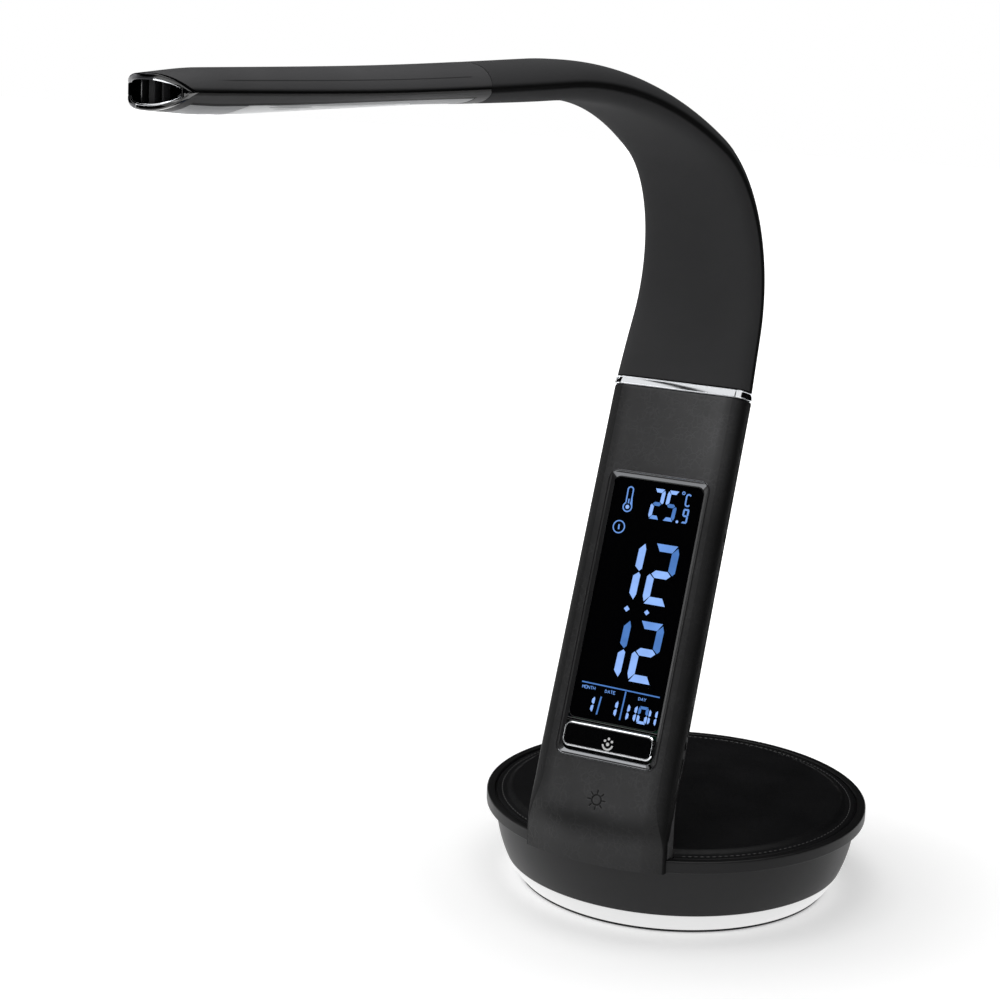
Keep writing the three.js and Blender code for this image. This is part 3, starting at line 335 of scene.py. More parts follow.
SATIN = Finish(
    "satin_dark_plastic", (42, 42, 43), 0.4, specular=0.25, grain_size=0.35, grain_depth=0.004, mottle=0.03,
)
RIM = replace(
    SATIN, name="rim_dark_plastic", colour=(31, 31, 32), roughness=0.42, specular=0.2, mark_shade=0.3,
)
HOUSING = Finish(
    "head_housing", (76, 76, 77), 0.34, specular=0.12, grain_size=0.3, grain_depth=0.002, mottle=0.03,
    mark_shade=0.05,
)
# The lower shell takes the housing's finish darker, as painted shade under the head
HOUSING_PAINTED_SHADE = replace(HOUSING, name="head_housing_painted_shade", colour=(62, 62, 63), roughness=0.5)
SLEEVE = Finish(
    "soft_sleeve", (62, 62, 63), 0.85, specular=0.04, grain_size=0.3, grain_depth=0.006, mottle=0.05,
    mark_shade=0.06,
)
# The leatherette's colour is its lightest; the stand's painted shade darkens most of its front
LEATHER = Finish(
    "stand_leatherette", (82, 82, 83), 0.4, specular=0.2, grain=Grain.CREASED, grain_size=1.5,
    grain_depth=0.055, mottle=0.1, mottle_size=38.0, roughness_spread=0.05, mark_shade=0.08,
    crease_shade=1.16,
)
EDGE_LEATHER = replace(LEATHER, name="edge_leatherette", roughness=0.5, specular=0.04)
# crease_shade below one paints shade into the pad's creases
PAD_LEATHER = Finish(
    "pad_leatherette", (17, 17, 18), 0.4, specular=0.1, grain=Grain.CREASED, grain_size=0.9, grain_depth=0.03,
    mottle=0.15, mottle_size=30.0, crease_shade=0.8,
)
THREAD = Finish("stitch_thread", (62, 62, 62), 0.5, grain_size=0.2, grain_depth=0.02)
# The diffuser glows as painted light, so that the unlit ring stays white where little light reaches it
DIFFUSER = Finish(
    "white_diffuser", (238, 238, 238), 0.45, grain_size=0.6, grain_depth=0.004, mottle=0.01, glow=0.72,
)
RUBBER = Finish("dark_rubber", (26, 26, 27), 0.8, specular=0.3, grain_depth=0.03, mottle=0.12)
GLOSS = Finish(
    "gloss_black", (7, 7, 8), 0.06, coat=0.6, grain_size=2.0, grain_depth=0.0004, roughness_spread=0.02,
)
SCREEN = Finish(
    "screen_black", (3, 3, 4), 0.03, specular=0.3, grain_size=3.0, grain_depth=0.0003, roughness_spread=0.02,
)
FRAME_GREY = Finish("frame_grey", (100, 101, 103), 0.1, metallic=1.0, grain_size=0.3, grain_depth=0.002)
# The frame's upright sides take this darker finish as painted shade
FRAME_PAINTED_SHADE = Finish("frame_painted_shade", (34, 34, 35), 0.3, specular=0.2, grain_size=0.3, grain_depth=0.002)
CHROME = Finish(
    "chrome", (225, 227, 230), 0.06, metallic=1.0, grain_size=4.0, grain_depth=0.002, mottle=0.02,
    roughness_spread=0.02,
)
BLACK_NICKEL = replace(CHROME, name="black_nickel", colour=(46, 46, 48), roughness=0.15, mottle=0.05)
PANEL = Finish(
    "panel_silver", (160, 161, 163), 0.5, specular=0.12, grain_size=0.4, grain_depth=0.003, mottle=0.04,
    mark_shade=0.1,
)
LENS = Finish(
    "lens_white", (222, 223, 224), 0.45, specular=0.2, grain_size=0.8, grain_depth=0.004, mottle=0.02,
)
PRINT = Finish("white_print", (214, 214, 214), 0.5, mottle=0.03, mottle_size=6.0)
LIT = Finish("display_lit", (142, 182, 250), 0.5, mottle=0.08, mottle_size=5.0, glow=1.0)
HALF_LIT = replace(LIT, name="display_half_lit", colour=(102, 150, 224))
DIM_LIT = replace(LIT, name="display_dim", colour=(66, 118, 190), mottle=0.1)
STEEL = Finish(
    "steel", (150, 152, 155), 0.36, metallic=1.0, grain=Grain.BRUSHED, grain_size=0.4, grain_depth=0.004,
)
COPPER = replace(STEEL, name="copper", colour=(190, 120, 76))
IRON = Finish(
    "cast_iron", (84, 86, 88), 0.62, metallic=0.8, grain_size=0.8, grain_depth=0.03, mottle=0.15,
)
BOARD = Finish("circuit_board", (30, 92, 54), 0.5, grain=Grain.BOARD, grain_depth=0.03, mottle=0.08)
FIBRE = Finish("fibre_board", (118, 92, 62), 0.82, grain=Grain.BRUSHED, grain_depth=0.04, mottle=0.18)
FLOOR_PAINT = Finish(
    "studio_floor", (240, 240, 240), 0.9, specular=0.1, mottle=0.0, grain_depth=0.0, roughness_spread=0.0,
)
CARD_BLACK = replace(FLOOR_PAINT, name="card_black", colour=(12, 12, 12), specular=0.0)


# Meshes


class Skin:
    """Collects grids of points in millimetres and makes one smooth mesh object of them."""

    def __init__(self) -> None:
        """Starts empty."""
        self.points: list[np.ndarray] = []
        self.marks: list[np.ndarray] = []
        self.faces: list[tuple[int, ...]] = []
        self.shades: list[int] = []
        self.total = 0

    def take(self, points: np.ndarray, marks: Optional[np.ndarray] = None) -> np.ndarray:
        """Adds points.

        Args:
            points: Places, the last axis being across, back and up.
            marks: How far each is part of a mark or of painted shade, from 0 to 1.

        Returns:
            Their numbers, in the shape that the points came in.
        """
        shape = points.shape[:-1]
        flat = points.reshape(-1, 3)
        self.points.append(flat)
        self.marks.append(np.zeros(len(flat)) if marks is None else marks.reshape(-1))
        numbers = self.total + np.arange(len(flat)).reshape(shape)
        self.total += len(flat)
        return numbers

    def quads(self, numbers: np.ndarray, shade: int = 0, keep: Optional[np.ndarray] = None) -> np.ndarray:
        """Adds the faces of a grid of point numbers.

        Args:
            numbers: Rows of point numbers.
            shade: Which of the object's finishes they take.
            keep: Which cells have a face; all of them when left out.

        Returns:
            The faces' point numbers.
        """
        cells = np.stack([numbers[:-1, :-1], numbers[1:, :-1], numbers[1:, 1:], numbers[:-1, 1:]], -1)
        cells = cells.reshape(-1, 4) if keep is None else cells[keep]
        self.faces.extend(map(tuple, cells.tolist()))
        self.shades.extend([shade] * len(cells))
        return cells

    def sweep(
        self, rings: np.ndarray, shade: int = 0, closed_rows: bool = False, caps: bool = False,
        marks: Optional[np.ndarray] = None,
    ) -> None:
        """Adds a surface through closed rings of points.

        Args:
            rings: One ring of points in each row.
            shade: Which of the object's finishes it takes.
            closed_rows: Whether the last ring joins the first.
            caps: Whether the first and last rings are closed by flat faces.
            marks: How far each point is part of a mark or of painted shade.
        """
        numbers = self.take(rings, marks)
        if caps:
            self.faces.extend([tuple(numbers[0].tolist()), tuple(numbers[-1].tolist())])
            self.shades.extend([shade, shade])
        if closed_rows:
            numbers = np.vstack([numbers, numbers[:1]])
        self.quads(closed_rings(numbers), shade)

    def bridge(self, upper: np.ndarray, lower: np.ndarray) -> None:
        """Adds faces between two rows of point numbers that may share points.

        Args:
            upper: Numbers along one side.
            lower: Numbers along the other.
        """
        for corners in zip(upper, upper[1:], lower[1:], lower):
            face = tuple(dict.fromkeys(int(corner) for corner in corners))
            if len(face) > 2:
                self.faces.append(face)
                self.shades.append(0)

    def wall(
        self, outer: np.ndarray, inner: np.ndarray, keep: Optional[np.ndarray] = None,
        marks: Optional[np.ndarray] = None, shade: int = 0,
    ) -> None:
        """Adds a closed wall between two open grids of points.

        Args:
            outer: The outer face's grid.
            inner: The inner face's grid, of the same shape.
            keep: Which cells are there, so that a wall may have an opening.
            marks: Marks and painted shade on the outer face.
            shade: Which of the object's finishes it takes.
        """
        out, back = self.take(outer, marks), self.take(inner)
        kept = self.quads(out, shade, keep)
        self.quads(back[:, ::-1], shade, None if keep is None else keep[:, ::-1])
        sides = np.concatenate([kept[:, [i, (i + 1) % 4]] for i in range(4)])
        keys = np.sort(sides, axis=1)
        _, first, counts = np.unique(keys, axis=0, return_index=True, return_counts=True)
        edges = sides[first[counts == 1]]
        shift = int(back.flat[0] - out.flat[0])
        rims = np.stack([edges[:, 1], edges[:, 0], edges[:, 0] + shift, edges[:, 1] + shift], -1)
        self.faces.extend(map(tuple, rims.tolist()))
        self.shades.extend([shade] * len(rims))

    def prism(
        self, outline: np.ndarray, place: Callable[..., np.ndarray], near: float, far: float, shade: int = 0,
    ) -> None:
        """Adds a flat plate with a given outline.

        Args:
            outline: Points round it, across and along.
            place: Turns across, depth and along into a place.
            near: Depth of its front.
            far: Depth of its back.
            shade: Which of the object's finishes it takes.
        """
        rings = np.stack([place(outline[:, 0], depth, outline[:, 1]) for depth in (near, far)])
        self.sweep(rings, shade, caps=True)

    def build(
        self, name: str, finishes: Sequence[Finish], sharp: float = SHARP_TURN, merge: float = 0.004,
    ) -> bpy.types.Object:
        """Makes the object.

        Args:
            name: Its name.
            finishes: The finishes that its faces take.
            sharp: Edges that turn by more degrees than this stay sharp.
            merge: Points closer than this become one.

        Returns:
            The object, with its faces outward.
        """
        mesh = bpy.data.meshes.new(name)
        mesh.from_pydata((np.concatenate(self.points) * MM).tolist(), [], self.faces)
        marks = np.concatenate(self.marks).astype(np.float32)
        if marks.any():
            mesh.attributes.new("mark", "FLOAT", "POINT").data.foreach_set("value", marks)
        mesh.polygons.foreach_set("material_index", self.shades)
        for finish in finishes:
            mesh.materials.append(finish.material())
        mend(mesh, merge)
        made = bpy.data.objects.new(name, mesh)
        bpy.context.scene.collection.objects.link(made)
        smooth(made, sharp)
        return made


def closed_rings(numbers: np.ndarray) -> np.ndarray:
    """Rows of point numbers whose first point comes once more at the end."""
    return np.hstack([numbers, numbers[:, :1]])


def mend(mesh: bpy.types.Mesh, merge: float = 0.0) -> None:
    """Turns a closed mesh's faces outward.

    Args:
        mesh: The mesh.
        merge: Points closer than this become one first.
    """
    work = bmesh.new()
    work.from_mesh(mesh)
    if merge > 0.0:
        bmesh.ops.remove_doubles(work, verts=work.verts, dist=merge * MM)
        bmesh.ops.dissolve_degenerate(work, edges=work.edges, dist=merge * MM)
    bmesh.ops.recalc_face_normals(work, faces=work.faces)
    work.to_mesh(mesh)
    work.free()


def smooth(piece: bpy.types.Object, sharp: float) -> None:
    """Shades a piece smooth, with sharp edges where it turns by more degrees than given."""
    piece.data.polygons.foreach_set("use_smooth", [True] * len(piece.data.polygons))
    piece.data.set_sharp_from_angle(angle=math.radians(sharp))


def bake(piece: bpy.types.Object) -> None:
    """Makes modifiers part of the plain mesh.

    Args:
        piece: The piece that has them.
    """
    graph = bpy.context.evaluated_depsgraph_get()
    mesh = bpy.data.meshes.new_from_object(piece.evaluated_get(graph))
    piece.modifiers.clear()
    piece.data = mesh


def carve(piece: bpy.types.Object, cutters: Sequence[bpy.types.Object], sharp: float = SHARP_TURN) -> None:
    """Takes closed cutters out of a piece.

    Args:
        piece: The piece, which keeps its finishes.
        cutters: Closed objects, removed afterwards.
        sharp: Edges that turn by more degrees than this stay sharp.
    """
    for cutter in cutters:
        cut = piece.modifiers.new("cut", "BOOLEAN")
        cut.operation, cut.solver, cut.object = "DIFFERENCE", "EXACT", cutter
    bake(piece)
    for cutter in cutters:
        bpy.data.objects.remove(cutter)
    smooth(piece, sharp)


def round_turns(steps: int) -> np.ndarray:
    """Even turns once round."""
    return np.linspace(0.0, FULL_TURN, steps, endpoint=False)


def round_cutter(
    place: Callable[..., np.ndarray], middle: Point2, radius: float, depths: Point2, steps: int = 48,
) -> bpy.types.Object:
    """A round cutter.

    Args:
        place: Turns across, depth and along into a place.
        middle: Where its axis lies, across and along.
        radius: Its radius.
        depths: Where it starts and ends.
        steps: Points round it.

    Returns:
        The cutter.
    """
    turns = round_turns(steps)
    skin = Skin()
    skin.prism(np.array(middle) + radius * np.stack([np.cos(turns), np.sin(turns)], -1), place, *depths)
    return skin.build("cutter", [SATIN])


def lathe(profile: Sequence[Point2], steps: int = 240) -> np.ndarray:
    """Turns a profile round the upright axis.

    Args:
        profile: Pairs of a radius and a height.
        steps: Points in each ring.

    Returns:
        One ring of points for each pair.
    """
    turns = round_turns(steps)
    pairs = np.array(profile)
    across, back = np.outer(pairs[:, 0], np.cos(turns)), np.outer(pairs[:, 0], np.sin(turns))
    return np.stack([across, back, np.repeat(pairs[:, 1:], steps, 1)], -1)


def turned(name: str, profile: Sequence[Point2], finish: Finish) -> bpy.types.Object:
    """Makes a turned piece.

    Args:
        name: Its name.
        profile: Pairs of a radius and a height, which end on the axis or close on themselves.
        finish: Its finish.

    Returns:
        The piece.
    """
    skin = Skin()
    skin.sweep(lathe(profile), closed_rows=profile[0][0] > 0.0)
    return skin.build(name, [finish])


def dress(piece: bpy.types.Object, slot: str, body: Optional[str], *stands_for: str) -> bpy.types.Object:
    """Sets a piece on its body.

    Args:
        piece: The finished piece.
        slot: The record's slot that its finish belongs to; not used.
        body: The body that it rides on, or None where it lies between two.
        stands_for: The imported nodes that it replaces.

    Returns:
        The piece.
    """
    if body is not None:
        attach(piece, body)
    if stands_for:
        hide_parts(*stands_for)
    log.info("%s: %d faces, on %s", piece.name, len(piece.data.polygons), body or "two bodies")
    return piece


def grown(
    name: str, tree: bpy.types.NodeTree, lengths: dict[str, float], counts: dict[str, int],
) -> bpy.types.Object:
    """Makes a plain mesh from a tree of geometry nodes.

    Args:
        name: The piece's name.
        tree: The tree, which ends in a Set Material node.
        lengths: Its lengths in millimetres, by name.
        counts: Its whole numbers, by name.

    Returns:
        The object, without the modifier.
    """
    piece = bpy.data.objects.new(name, bpy.data.meshes.new(name))
    bpy.context.scene.collection.objects.link(piece)
    grow = piece.modifiers.new("grow", "NODES")
    grow.node_group = tree
    values = {title: float(length) * MM for title, length in lengths.items()} | counts
    for item in tree.interface.items_tree:
        if item.in_out == "INPUT" and item.name in values:
            grow[item.identifier] = values[item.name]
    bake(piece)
    return piece


def new_tree(name: str, inputs: Sequence[str]) -> tuple[Graph, dict[str, bpy.types.NodeSocket]]:
    """Starts a tree of geometry nodes.

    Args:
        name: The tree's name.
        inputs: Names of its number inputs. One that starts with "Count" is a whole number.

    Returns:
        The graph and the sockets of its inputs, by name.
    """
    tree = bpy.data.node_groups.new(name, "GeometryNodeTree")
    for item in inputs:
        kind = "NodeSocketInt" if item.startswith("Count") else "NodeSocketFloat"
        tree.interface.new_socket(name=item, in_out="INPUT", socket_type=kind)
    tree.interface.new_socket(name="Geometry", in_out="OUTPUT", socket_type="NodeSocketGeometry")
    graph = Graph(tree)
    start = graph.add("NodeGroupInput")
    return graph, {item: start.outputs[item] for item in inputs}


def end_tree(graph: Graph, shape: bpy.types.NodeSocket, finish: Finish) -> bpy.types.NodeTree:
    """Ends a tree of geometry nodes.

    Args:
        graph: The graph.
        shape: What it makes. Instances become real.
        finish: The finish that it takes.

    Returns:
        The tree.
    """
    real = graph.out("GeometryNodeRealizeInstances", {0: shape})
    dressed = graph.out("GeometryNodeSetMaterial", {"Geometry": real, "Material": finish.material()})
    graph.add("NodeGroupOutput", {0: dressed})
    return graph.tree


# Places


@dataclass(frozen=True)
class StandPlane:
    """The leaning frame of the stand: across, into it and along it from the rim's height."""

    lean: float = math.radians(20.8)
    foot_y: float = -96.0
    rim_z: float = 41.0

    def place(self, across: np.ndarray, depth: np.ndarray, along: np.ndarray) -> np.ndarray:
        """Places in the lamp's frame.

        Args:
            across: Distance to the right of the middle.
            depth: Distance into the stand from its front.
            along: Distance up the stand.

        Returns:
            The places, one in each row of the last axis.
        """
        across, depth, along = np.broadcast_arrays(*(np.asarray(v, float) for v in (across, depth, along)))
        cos, sin = math.cos(self.lean), math.sin(self.lean)
        back = self.foot_y + depth * cos + along * sin
        return np.stack([across, back, self.rim_z - depth * sin + along * cos], -1)

    def back_at(self, z: np.ndarray) -> np.ndarray:
        """How far back the leaning front lies at a level."""
        return self.foot_y + (z - self.rim_z) * math.tan(self.lean)

    def into(self) -> np.ndarray:
        """The direction into the stand."""
        return np.array([0.0, math.cos(self.lean), -math.sin(self.lean)])


@dataclass(frozen=True)
class ArmLine:
    """The middle line of neck and head with its changing section.

    Each arc is a length and a turn in degrees. Each knot is a distance along the arm, the width,
    the upper and the lower reach, and the drop of the side edges.
    """

    plane: StandPlane = StandPlane()
    start_depth: float = 6.25
    start_along: float = 217.6
    arcs: tuple[Point2, ...] = ((30.0, -2.5), (100.4, 85.3), (140.0, 27.6), (250.0, -1.7))
    knots: tuple[tuple[float, ...], ...] = (
        (0.0, 67.9, 6.25, 6.25, 0.0),
        (30.0, 64.4, 6.7, 6.7, 0.0),
        (130.4, 49.6, 6.3, 6.3, 0.8),
        (270.4, 33.4, 7.5, 8.8, 1.6),
        (391.2, 32.4, 6.5, 7.3, 1.9),
        (494.0, 24.0, 6.0, 8.6, 1.3),
        (522.5, 22.6, 4.2, 7.0, 1.0),
    )
    slab_power: float = 12.0
    lens_power: float = 2.6
    slab_edge: float = 0.5
    lens_edge: float = 0.72
    lens_from: float = 65.2
    lens_full: float = 329.5
    seam: float = 329.5
    seam_bulge: float = 7.0
    nose: float = 512.0
    nose_round: float = 10.5

    def middle(self, along: np.ndarray) -> tuple[np.ndarray, np.ndarray, np.ndarray]:
        """The middle line at distances along it.

        Args:
            along: Distances along the arm.

        Returns:
            Its places back, its places up and its directions.
        """
        left = np.asarray(along, float).copy()
        start = self.plane.place(0.0, self.start_depth, self.start_along)
        back, up = np.full_like(left, start[1]), np.full_like(left, start[2])
        angle = np.full_like(left, math.pi / 2.0 - self.plane.lean)
        for i, (length, turn) in enumerate(self.arcs):
            step = left if i == len(self.arcs) - 1 else np.minimum(left, length)
            swept = math.radians(turn) * step / length
            chord = step * np.sinc(swept / FULL_TURN)
            back = back + chord * np.cos(angle + swept / 2.0)
            up = up + chord * np.sin(angle + swept / 2.0)
            angle = angle + swept
            left = left - step
        return back, up, angle

    def place(self, along: np.ndarray, across: np.ndarray, out: np.ndarray) -> np.ndarray:
        """Places in the lamp's frame.

        Args:
            along: Distances along the arm.
            across: Distances across it.
            out: Distances out of its upper side.

        Returns:
            The places, one in each row of the last axis.
        """
        along, across, out = np.broadcast_arrays(*(np.asarray(v, float) for v in (along, across, out)))
        back, up, angle = self.middle(along)
        return np.stack([across, back + out * np.sin(angle), up - out * np.cos(angle)], -1)

    def measure(self, column: int, along: np.ndarray) -> np.ndarray:
        """A knot measure at distances along the arm, smooth and never past the knots.

        Args:
            column: 1 width, 2 upper reach, 3 lower reach, 4 drop of the side edges.
            along: Distances along the arm.

        Returns:
            The measure at each distance.
        """
        at = np.array([knot[0] for knot in self.knots])
        value = np.array([knot[column] for knot in self.knots])
        slope = np.diff(value) / np.diff(at)
        product = slope[:-1] * slope[1:]
        total = np.where(product > 0.0, slope[:-1] + slope[1:], 1.0)
        tangent = np.concatenate([slope[:1], np.where(product > 0.0, 2.0 * product / total, 0.0), slope[-1:]])
        here = np.clip(np.asarray(along, float), at[0], at[-1])
        i = np.clip(np.searchsorted(at, here, side="left") - 1, 0, len(at) - 2)
        span = at[i + 1] - at[i]
        t = (here - at[i]) / span
        low = value[i] * (1.0 + 2.0 * t) * (1.0 - t) ** 2 + tangent[i] * span * t * (1.0 - t) ** 2
        return low + value[i + 1] * t * t * (3.0 - 2.0 * t) - tangent[i + 1] * span * t * t * (1.0 - t)

    def half(self, along: np.ndarray) -> np.ndarray:
        """Half of the arm's width at distances along it."""
        return self.measure(1, along) / 2.0

    def row(
        self, along: np.ndarray, shares: np.ndarray, inset: Amount, side: int, relief: Amount = 0.0,
    ) -> np.ndarray:
        """Points of one side of the section, which is a slab at the stand and a lens at the head.

        Args:
            along: Distances along the arm.
            shares: Places across, from -1 to 1 of the half width.
            inset: How far inside the surface they lie.
            side: 1 for the upper side, -1 for the lower side.
            relief: How far each is sunk.

        Returns:
            The points.
        """
        along, shares = np.broadcast_arrays(np.asarray(along, float), np.asarray(shares, float))
        half = self.half(along) - inset
        drop = self.measure(4, along)
        reach = self.measure(2, along) + drop if side > 0 else self.measure(3, along) - drop
        lens = smoothstep(along, self.lens_from, self.lens_full)
        power = self.slab_power + (self.lens_power - self.slab_power) * np.sqrt(lens)
        edge = self.slab_edge + (self.lens_edge - self.slab_edge) * lens
        rise = np.maximum(0.0, 1.0 - np.abs(shares) ** power) ** edge
        return self.place(along, half * shares, side * ((reach - inset) * rise - relief) - drop)

    def edge_shade(
        self, along: np.ndarray, shares: np.ndarray, side: int, dark: float, clear: float,
    ) -> np.ndarray:
        """How far a place is in the painted shade along the arm's edges.

        Args:
            along: Distances along the arm.
            shares: Places across.
            side: 1 for the upper side, -1 for the lower side.
            dark: Height above or below the edge up to which it is full.
            clear: Height at which it has gone.

        Returns:
            Shades from 0 to 1.
        """
        rise = self.row(along, shares, 0.0, side) - self.row(along, np.sign(shares), 0.0, side)
        height = np.linalg.norm(rise[..., 1:], axis=-1)
        return 1.0 - smoothstep(height, dark, clear)

    def ring(self, along: np.ndarray, inset: Amount, shares: np.ndarray) -> np.ndarray:
        """One ring round the section, at distances that may change across the width."""
        return round_rows(*(self.row(along, shares, inset, side) for side in (1, -1)))

    def seam_at(self, shares: np.ndarray) -> np.ndarray:
        """Where the sleeve meets the head, across the width."""
        return self.seam + self.seam_bulge * (1.0 - arch(shares))

    def nose_at(self, shares: np.ndarray) -> np.ndarray:
        """Where the head ends, across the width."""
        return self.nose + self.nose_round * arch(shares)


def arch(shares: np.ndarray) -> np.ndarray:
    """The height of a round arch over places from -1 to 1."""
    return np.sqrt(np.maximum(0.0, 1.0 - shares**2))


def round_rows(upper: np.ndarray, lower: np.ndarray) -> np.ndarray:
    """A ring of an upper row and a lower row that share their ends."""
    return np.concatenate([upper, lower[1:-1][::-1]])


def across_shares(steps: int) -> np.ndarray:
    """Places across a section, closer together at its edges."""
    turn = np.linspace(0.0, math.pi, steps + 1)
    return -np.cos(turn) * (1.0 + 0.12 * np.sin(turn) ** 2)


# Base


@dataclass
class Base:
    """Weighted round base: rim, skirt, light ring, sole and stitched pad."""

    rim_radius: float = 92.0
    rim_top: float = 41.0
    rim_width: float = 4.0
    rim_lip: float = 0.6
    band_bottom: float = 35.3
    deck_top: float = 37.3
    deck_bottom: float = 34.8
    skirt_top: float = 87.2
    skirt_flare: float = 5.5
    skirt_low: float = 10.6
    skirt_wall: float = 2.0
    ring_bottom_radius: float = 75.8
    ring_low: float = 1.3
    ring_wall: float = 2.4
    ring_curve: float = 0.3
    ring_step: float = 0.25
    ring_step_top: float = 3.1
    sole_radius: float = 75.0
    sole_top: float = 1.0
    post_circle: float = 60.8
    post_radius: float = 3.6
    post_low: float = 4.9
    post_join: float = 0.02
    pad_radius: float = 87.7
    pad_low: float = 39.4
    pad_flat: float = 80.7
    pad_top: float = 42.6
    pad_crown: float = 0.22
    pad_shoulder: float = 1.35
    pad_slope: float = 0.55
    pad_edge: float = 0.7
    pad_sharp: float = 60.0
    pad_runs: tuple[tuple[float, float, int], ...] = (
        (0.0, 0.0, 1), (4.0, 76.0, 16), (78.0, 83.4, 14), (83.7, 85.3, 9), (85.7, 86.6, 4), (86.8, 87.7, 7),
    )
    channel_width: float = 0.55
    channel_depth: float = 0.12
    pucker_depth: float = 0.1
    wave_height: float = 0.05
    wave_width: float = 1.6
    notch_half: float = 35.7
    notch_back: float = -77.4
    stitch_radius: float = 84.5
    stitch_count: int = 190
    stitch_half: Point3 = (0.95, 0.3, 0.28)
    stitch_rise: float = 0.12
    stitch_room: float = 1.2
    stitch_front: float = -60.0
    inlet_z: float = 24.0
    inlet_radius: float = 5.6
    inlet_cut: Point2 = (60.0, 100.0)
    leg_y: float = -82.4
    leg_half: float = 10.3
    leg_reach: float = 1.1
    cut_front: float = -100.0
    cut_levels: Point2 = (30.0, 50.0)

    def build(self) -> None:
        """Makes every piece of the base."""
        self.rim()
        self.skirt()
        self.light_ring()
        self.pad()
        self.stitches()

    def rim(self) -> None:
        """The rim band and the tray that it goes round, with the posts below."""
        shoulder = self.skirt_top - self.skirt_wall - GAP
        inner = self.rim_radius - self.rim_width
        profile = [
            (0.0, self.deck_top), (inner, self.deck_top), (inner, self.rim_top),
            (self.rim_radius, self.rim_top), (self.rim_radius, self.band_bottom),
            (shoulder, self.band_bottom), (shoulder, self.deck_bottom), (0.0, self.deck_bottom),
        ]
        skin = Skin()
        rings = lathe(soften(profile, {1: 0.3, 2: 0.5, 3: 0.9, 4: 0.5}))
        radius = np.hypot(rings[..., 0], rings[..., 1])
        lip = (rings[..., 2] > self.rim_top - 0.5) & (radius > inner - self.rim_lip)
        skin.sweep(rings, marks=lip.astype(float))
        low, high = self.post_low, self.deck_bottom - self.post_join
        post = lathe([(0.0, low), (self.post_radius, low), (self.post_radius, high), (0.0, high)], 32)
        for turn in round_turns(4) + math.pi / 4.0:
            skin.sweep(post + self.post_circle * np.array([math.cos(turn), math.sin(turn), 0.0]))
        piece = skin.build("rim_and_tray", [RIM])
        carve(piece, [self.block(self.leg_half, self.leg_y - self.leg_reach, self.leg_y + self.leg_reach)])
        dress(piece, "satin_black", "base", "rim_tray")

    def block(self, half: float, front: float, back: float) -> bpy.types.Object:
        """A plain upright cutter.

        Args:
            half: Half of its width.
            front: How far back it starts.
            back: How far back it ends.

        Returns:
            The cutter.
        """
        skin = Skin()
        outline = np.array([(-half, front), (half, front), (half, back), (-half, back)])
        skin.prism(outline, lambda x, z, y: np.stack([x, y, np.full_like(x, z)], -1), *self.cut_levels)
        return skin.build("cutter", [SATIN])

    def skirt(self) -> None:
        """The skirt, whose radius grows to the rim by a square rule."""
        names = ["Top radius", "Flare", "Low", "High", "Rule high", "Wall", "Count round", "Count up"]
        graph, given = new_tree("skirt_rule", names)
        sheet = graph.out("GeometryNodeMeshGrid", {2: given["Count round"], 3: given["Count up"]})
        place = graph.add("ShaderNodeSeparateXYZ", {0: graph.out("GeometryNodeInputPosition")})
        turn = graph.reckon("MULTIPLY", graph.reckon("ADD", place.outputs[0], 0.5), FULL_TURN)
        tall = graph.reckon("SUBTRACT", given["High"], given["Low"])
        rise = graph.reckon("MULTIPLY", graph.reckon("ADD", place.outputs[1], 0.5), tall)
        share = graph.reckon("DIVIDE", rise, graph.reckon("SUBTRACT", given["Rule high"], given["Low"]))
        left = graph.reckon("POWER", graph.reckon("SUBTRACT", 1.0, share), 2.0)
        radius = graph.reckon("SUBTRACT", given["Top radius"], graph.reckon("MULTIPLY", left, given["Flare"]))
        across = graph.reckon("MULTIPLY", radius, graph.reckon("COSINE", turn))
        back = graph.reckon("MULTIPLY", radius, graph.reckon("SINE", turn))
        up = graph.reckon("ADD", rise, given["Low"])
        point = graph.out("ShaderNodeCombineXYZ", {0: across, 1: back, 2: up})
        bent = graph.out("GeometryNodeSetPosition", {"Geometry": sheet, "Position": point})
        whole = graph.out("GeometryNodeMergeByDistance", {"Geometry": bent, "Distance": MELD})
        inward = graph.reckon("MULTIPLY", given["Wall"], -1.0)
        grow = {"Mesh": whole, "Offset Scale": inward, "Individual": False}
        joined = graph.add("GeometryNodeJoinGeometry")
        graph.tree.links.new(graph.out("GeometryNodeExtrudeMesh", grow), joined.inputs[0])
        graph.tree.links.new(graph.out("GeometryNodeFlipFaces", {0: whole}), joined.inputs[0])
        closed = graph.out("GeometryNodeMergeByDistance", {"Geometry": joined.outputs[0], "Distance": MELD})
        lengths = {
            "Top radius": self.skirt_top, "Flare": self.skirt_flare, "Low": self.skirt_low,
            "High": self.band_bottom - GAP, "Rule high": self.band_bottom, "Wall": self.skirt_wall,
        }
        tree = end_tree(graph, closed, SATIN)
        piece = grown("flared_skirt", tree, lengths, {"Count round": 241, "Count up": 25})
        mend(piece.data)
        carve(piece, [round_cutter(
            lambda x, y, z: np.stack([x, np.full_like(x, y), z], -1), (0.0, self.inlet_z), self.inlet_radius,
            self.inlet_cut,
        )])
        dress(piece, "satin_black", "base", "skirt")

    def skirt_radius(self, z: float) -> float:
        """The skirt's outer radius at a height."""
        share = (z - self.skirt_low) / (self.band_bottom - self.skirt_low)
        return self.skirt_top - self.skirt_flare * (1.0 - share) ** 2

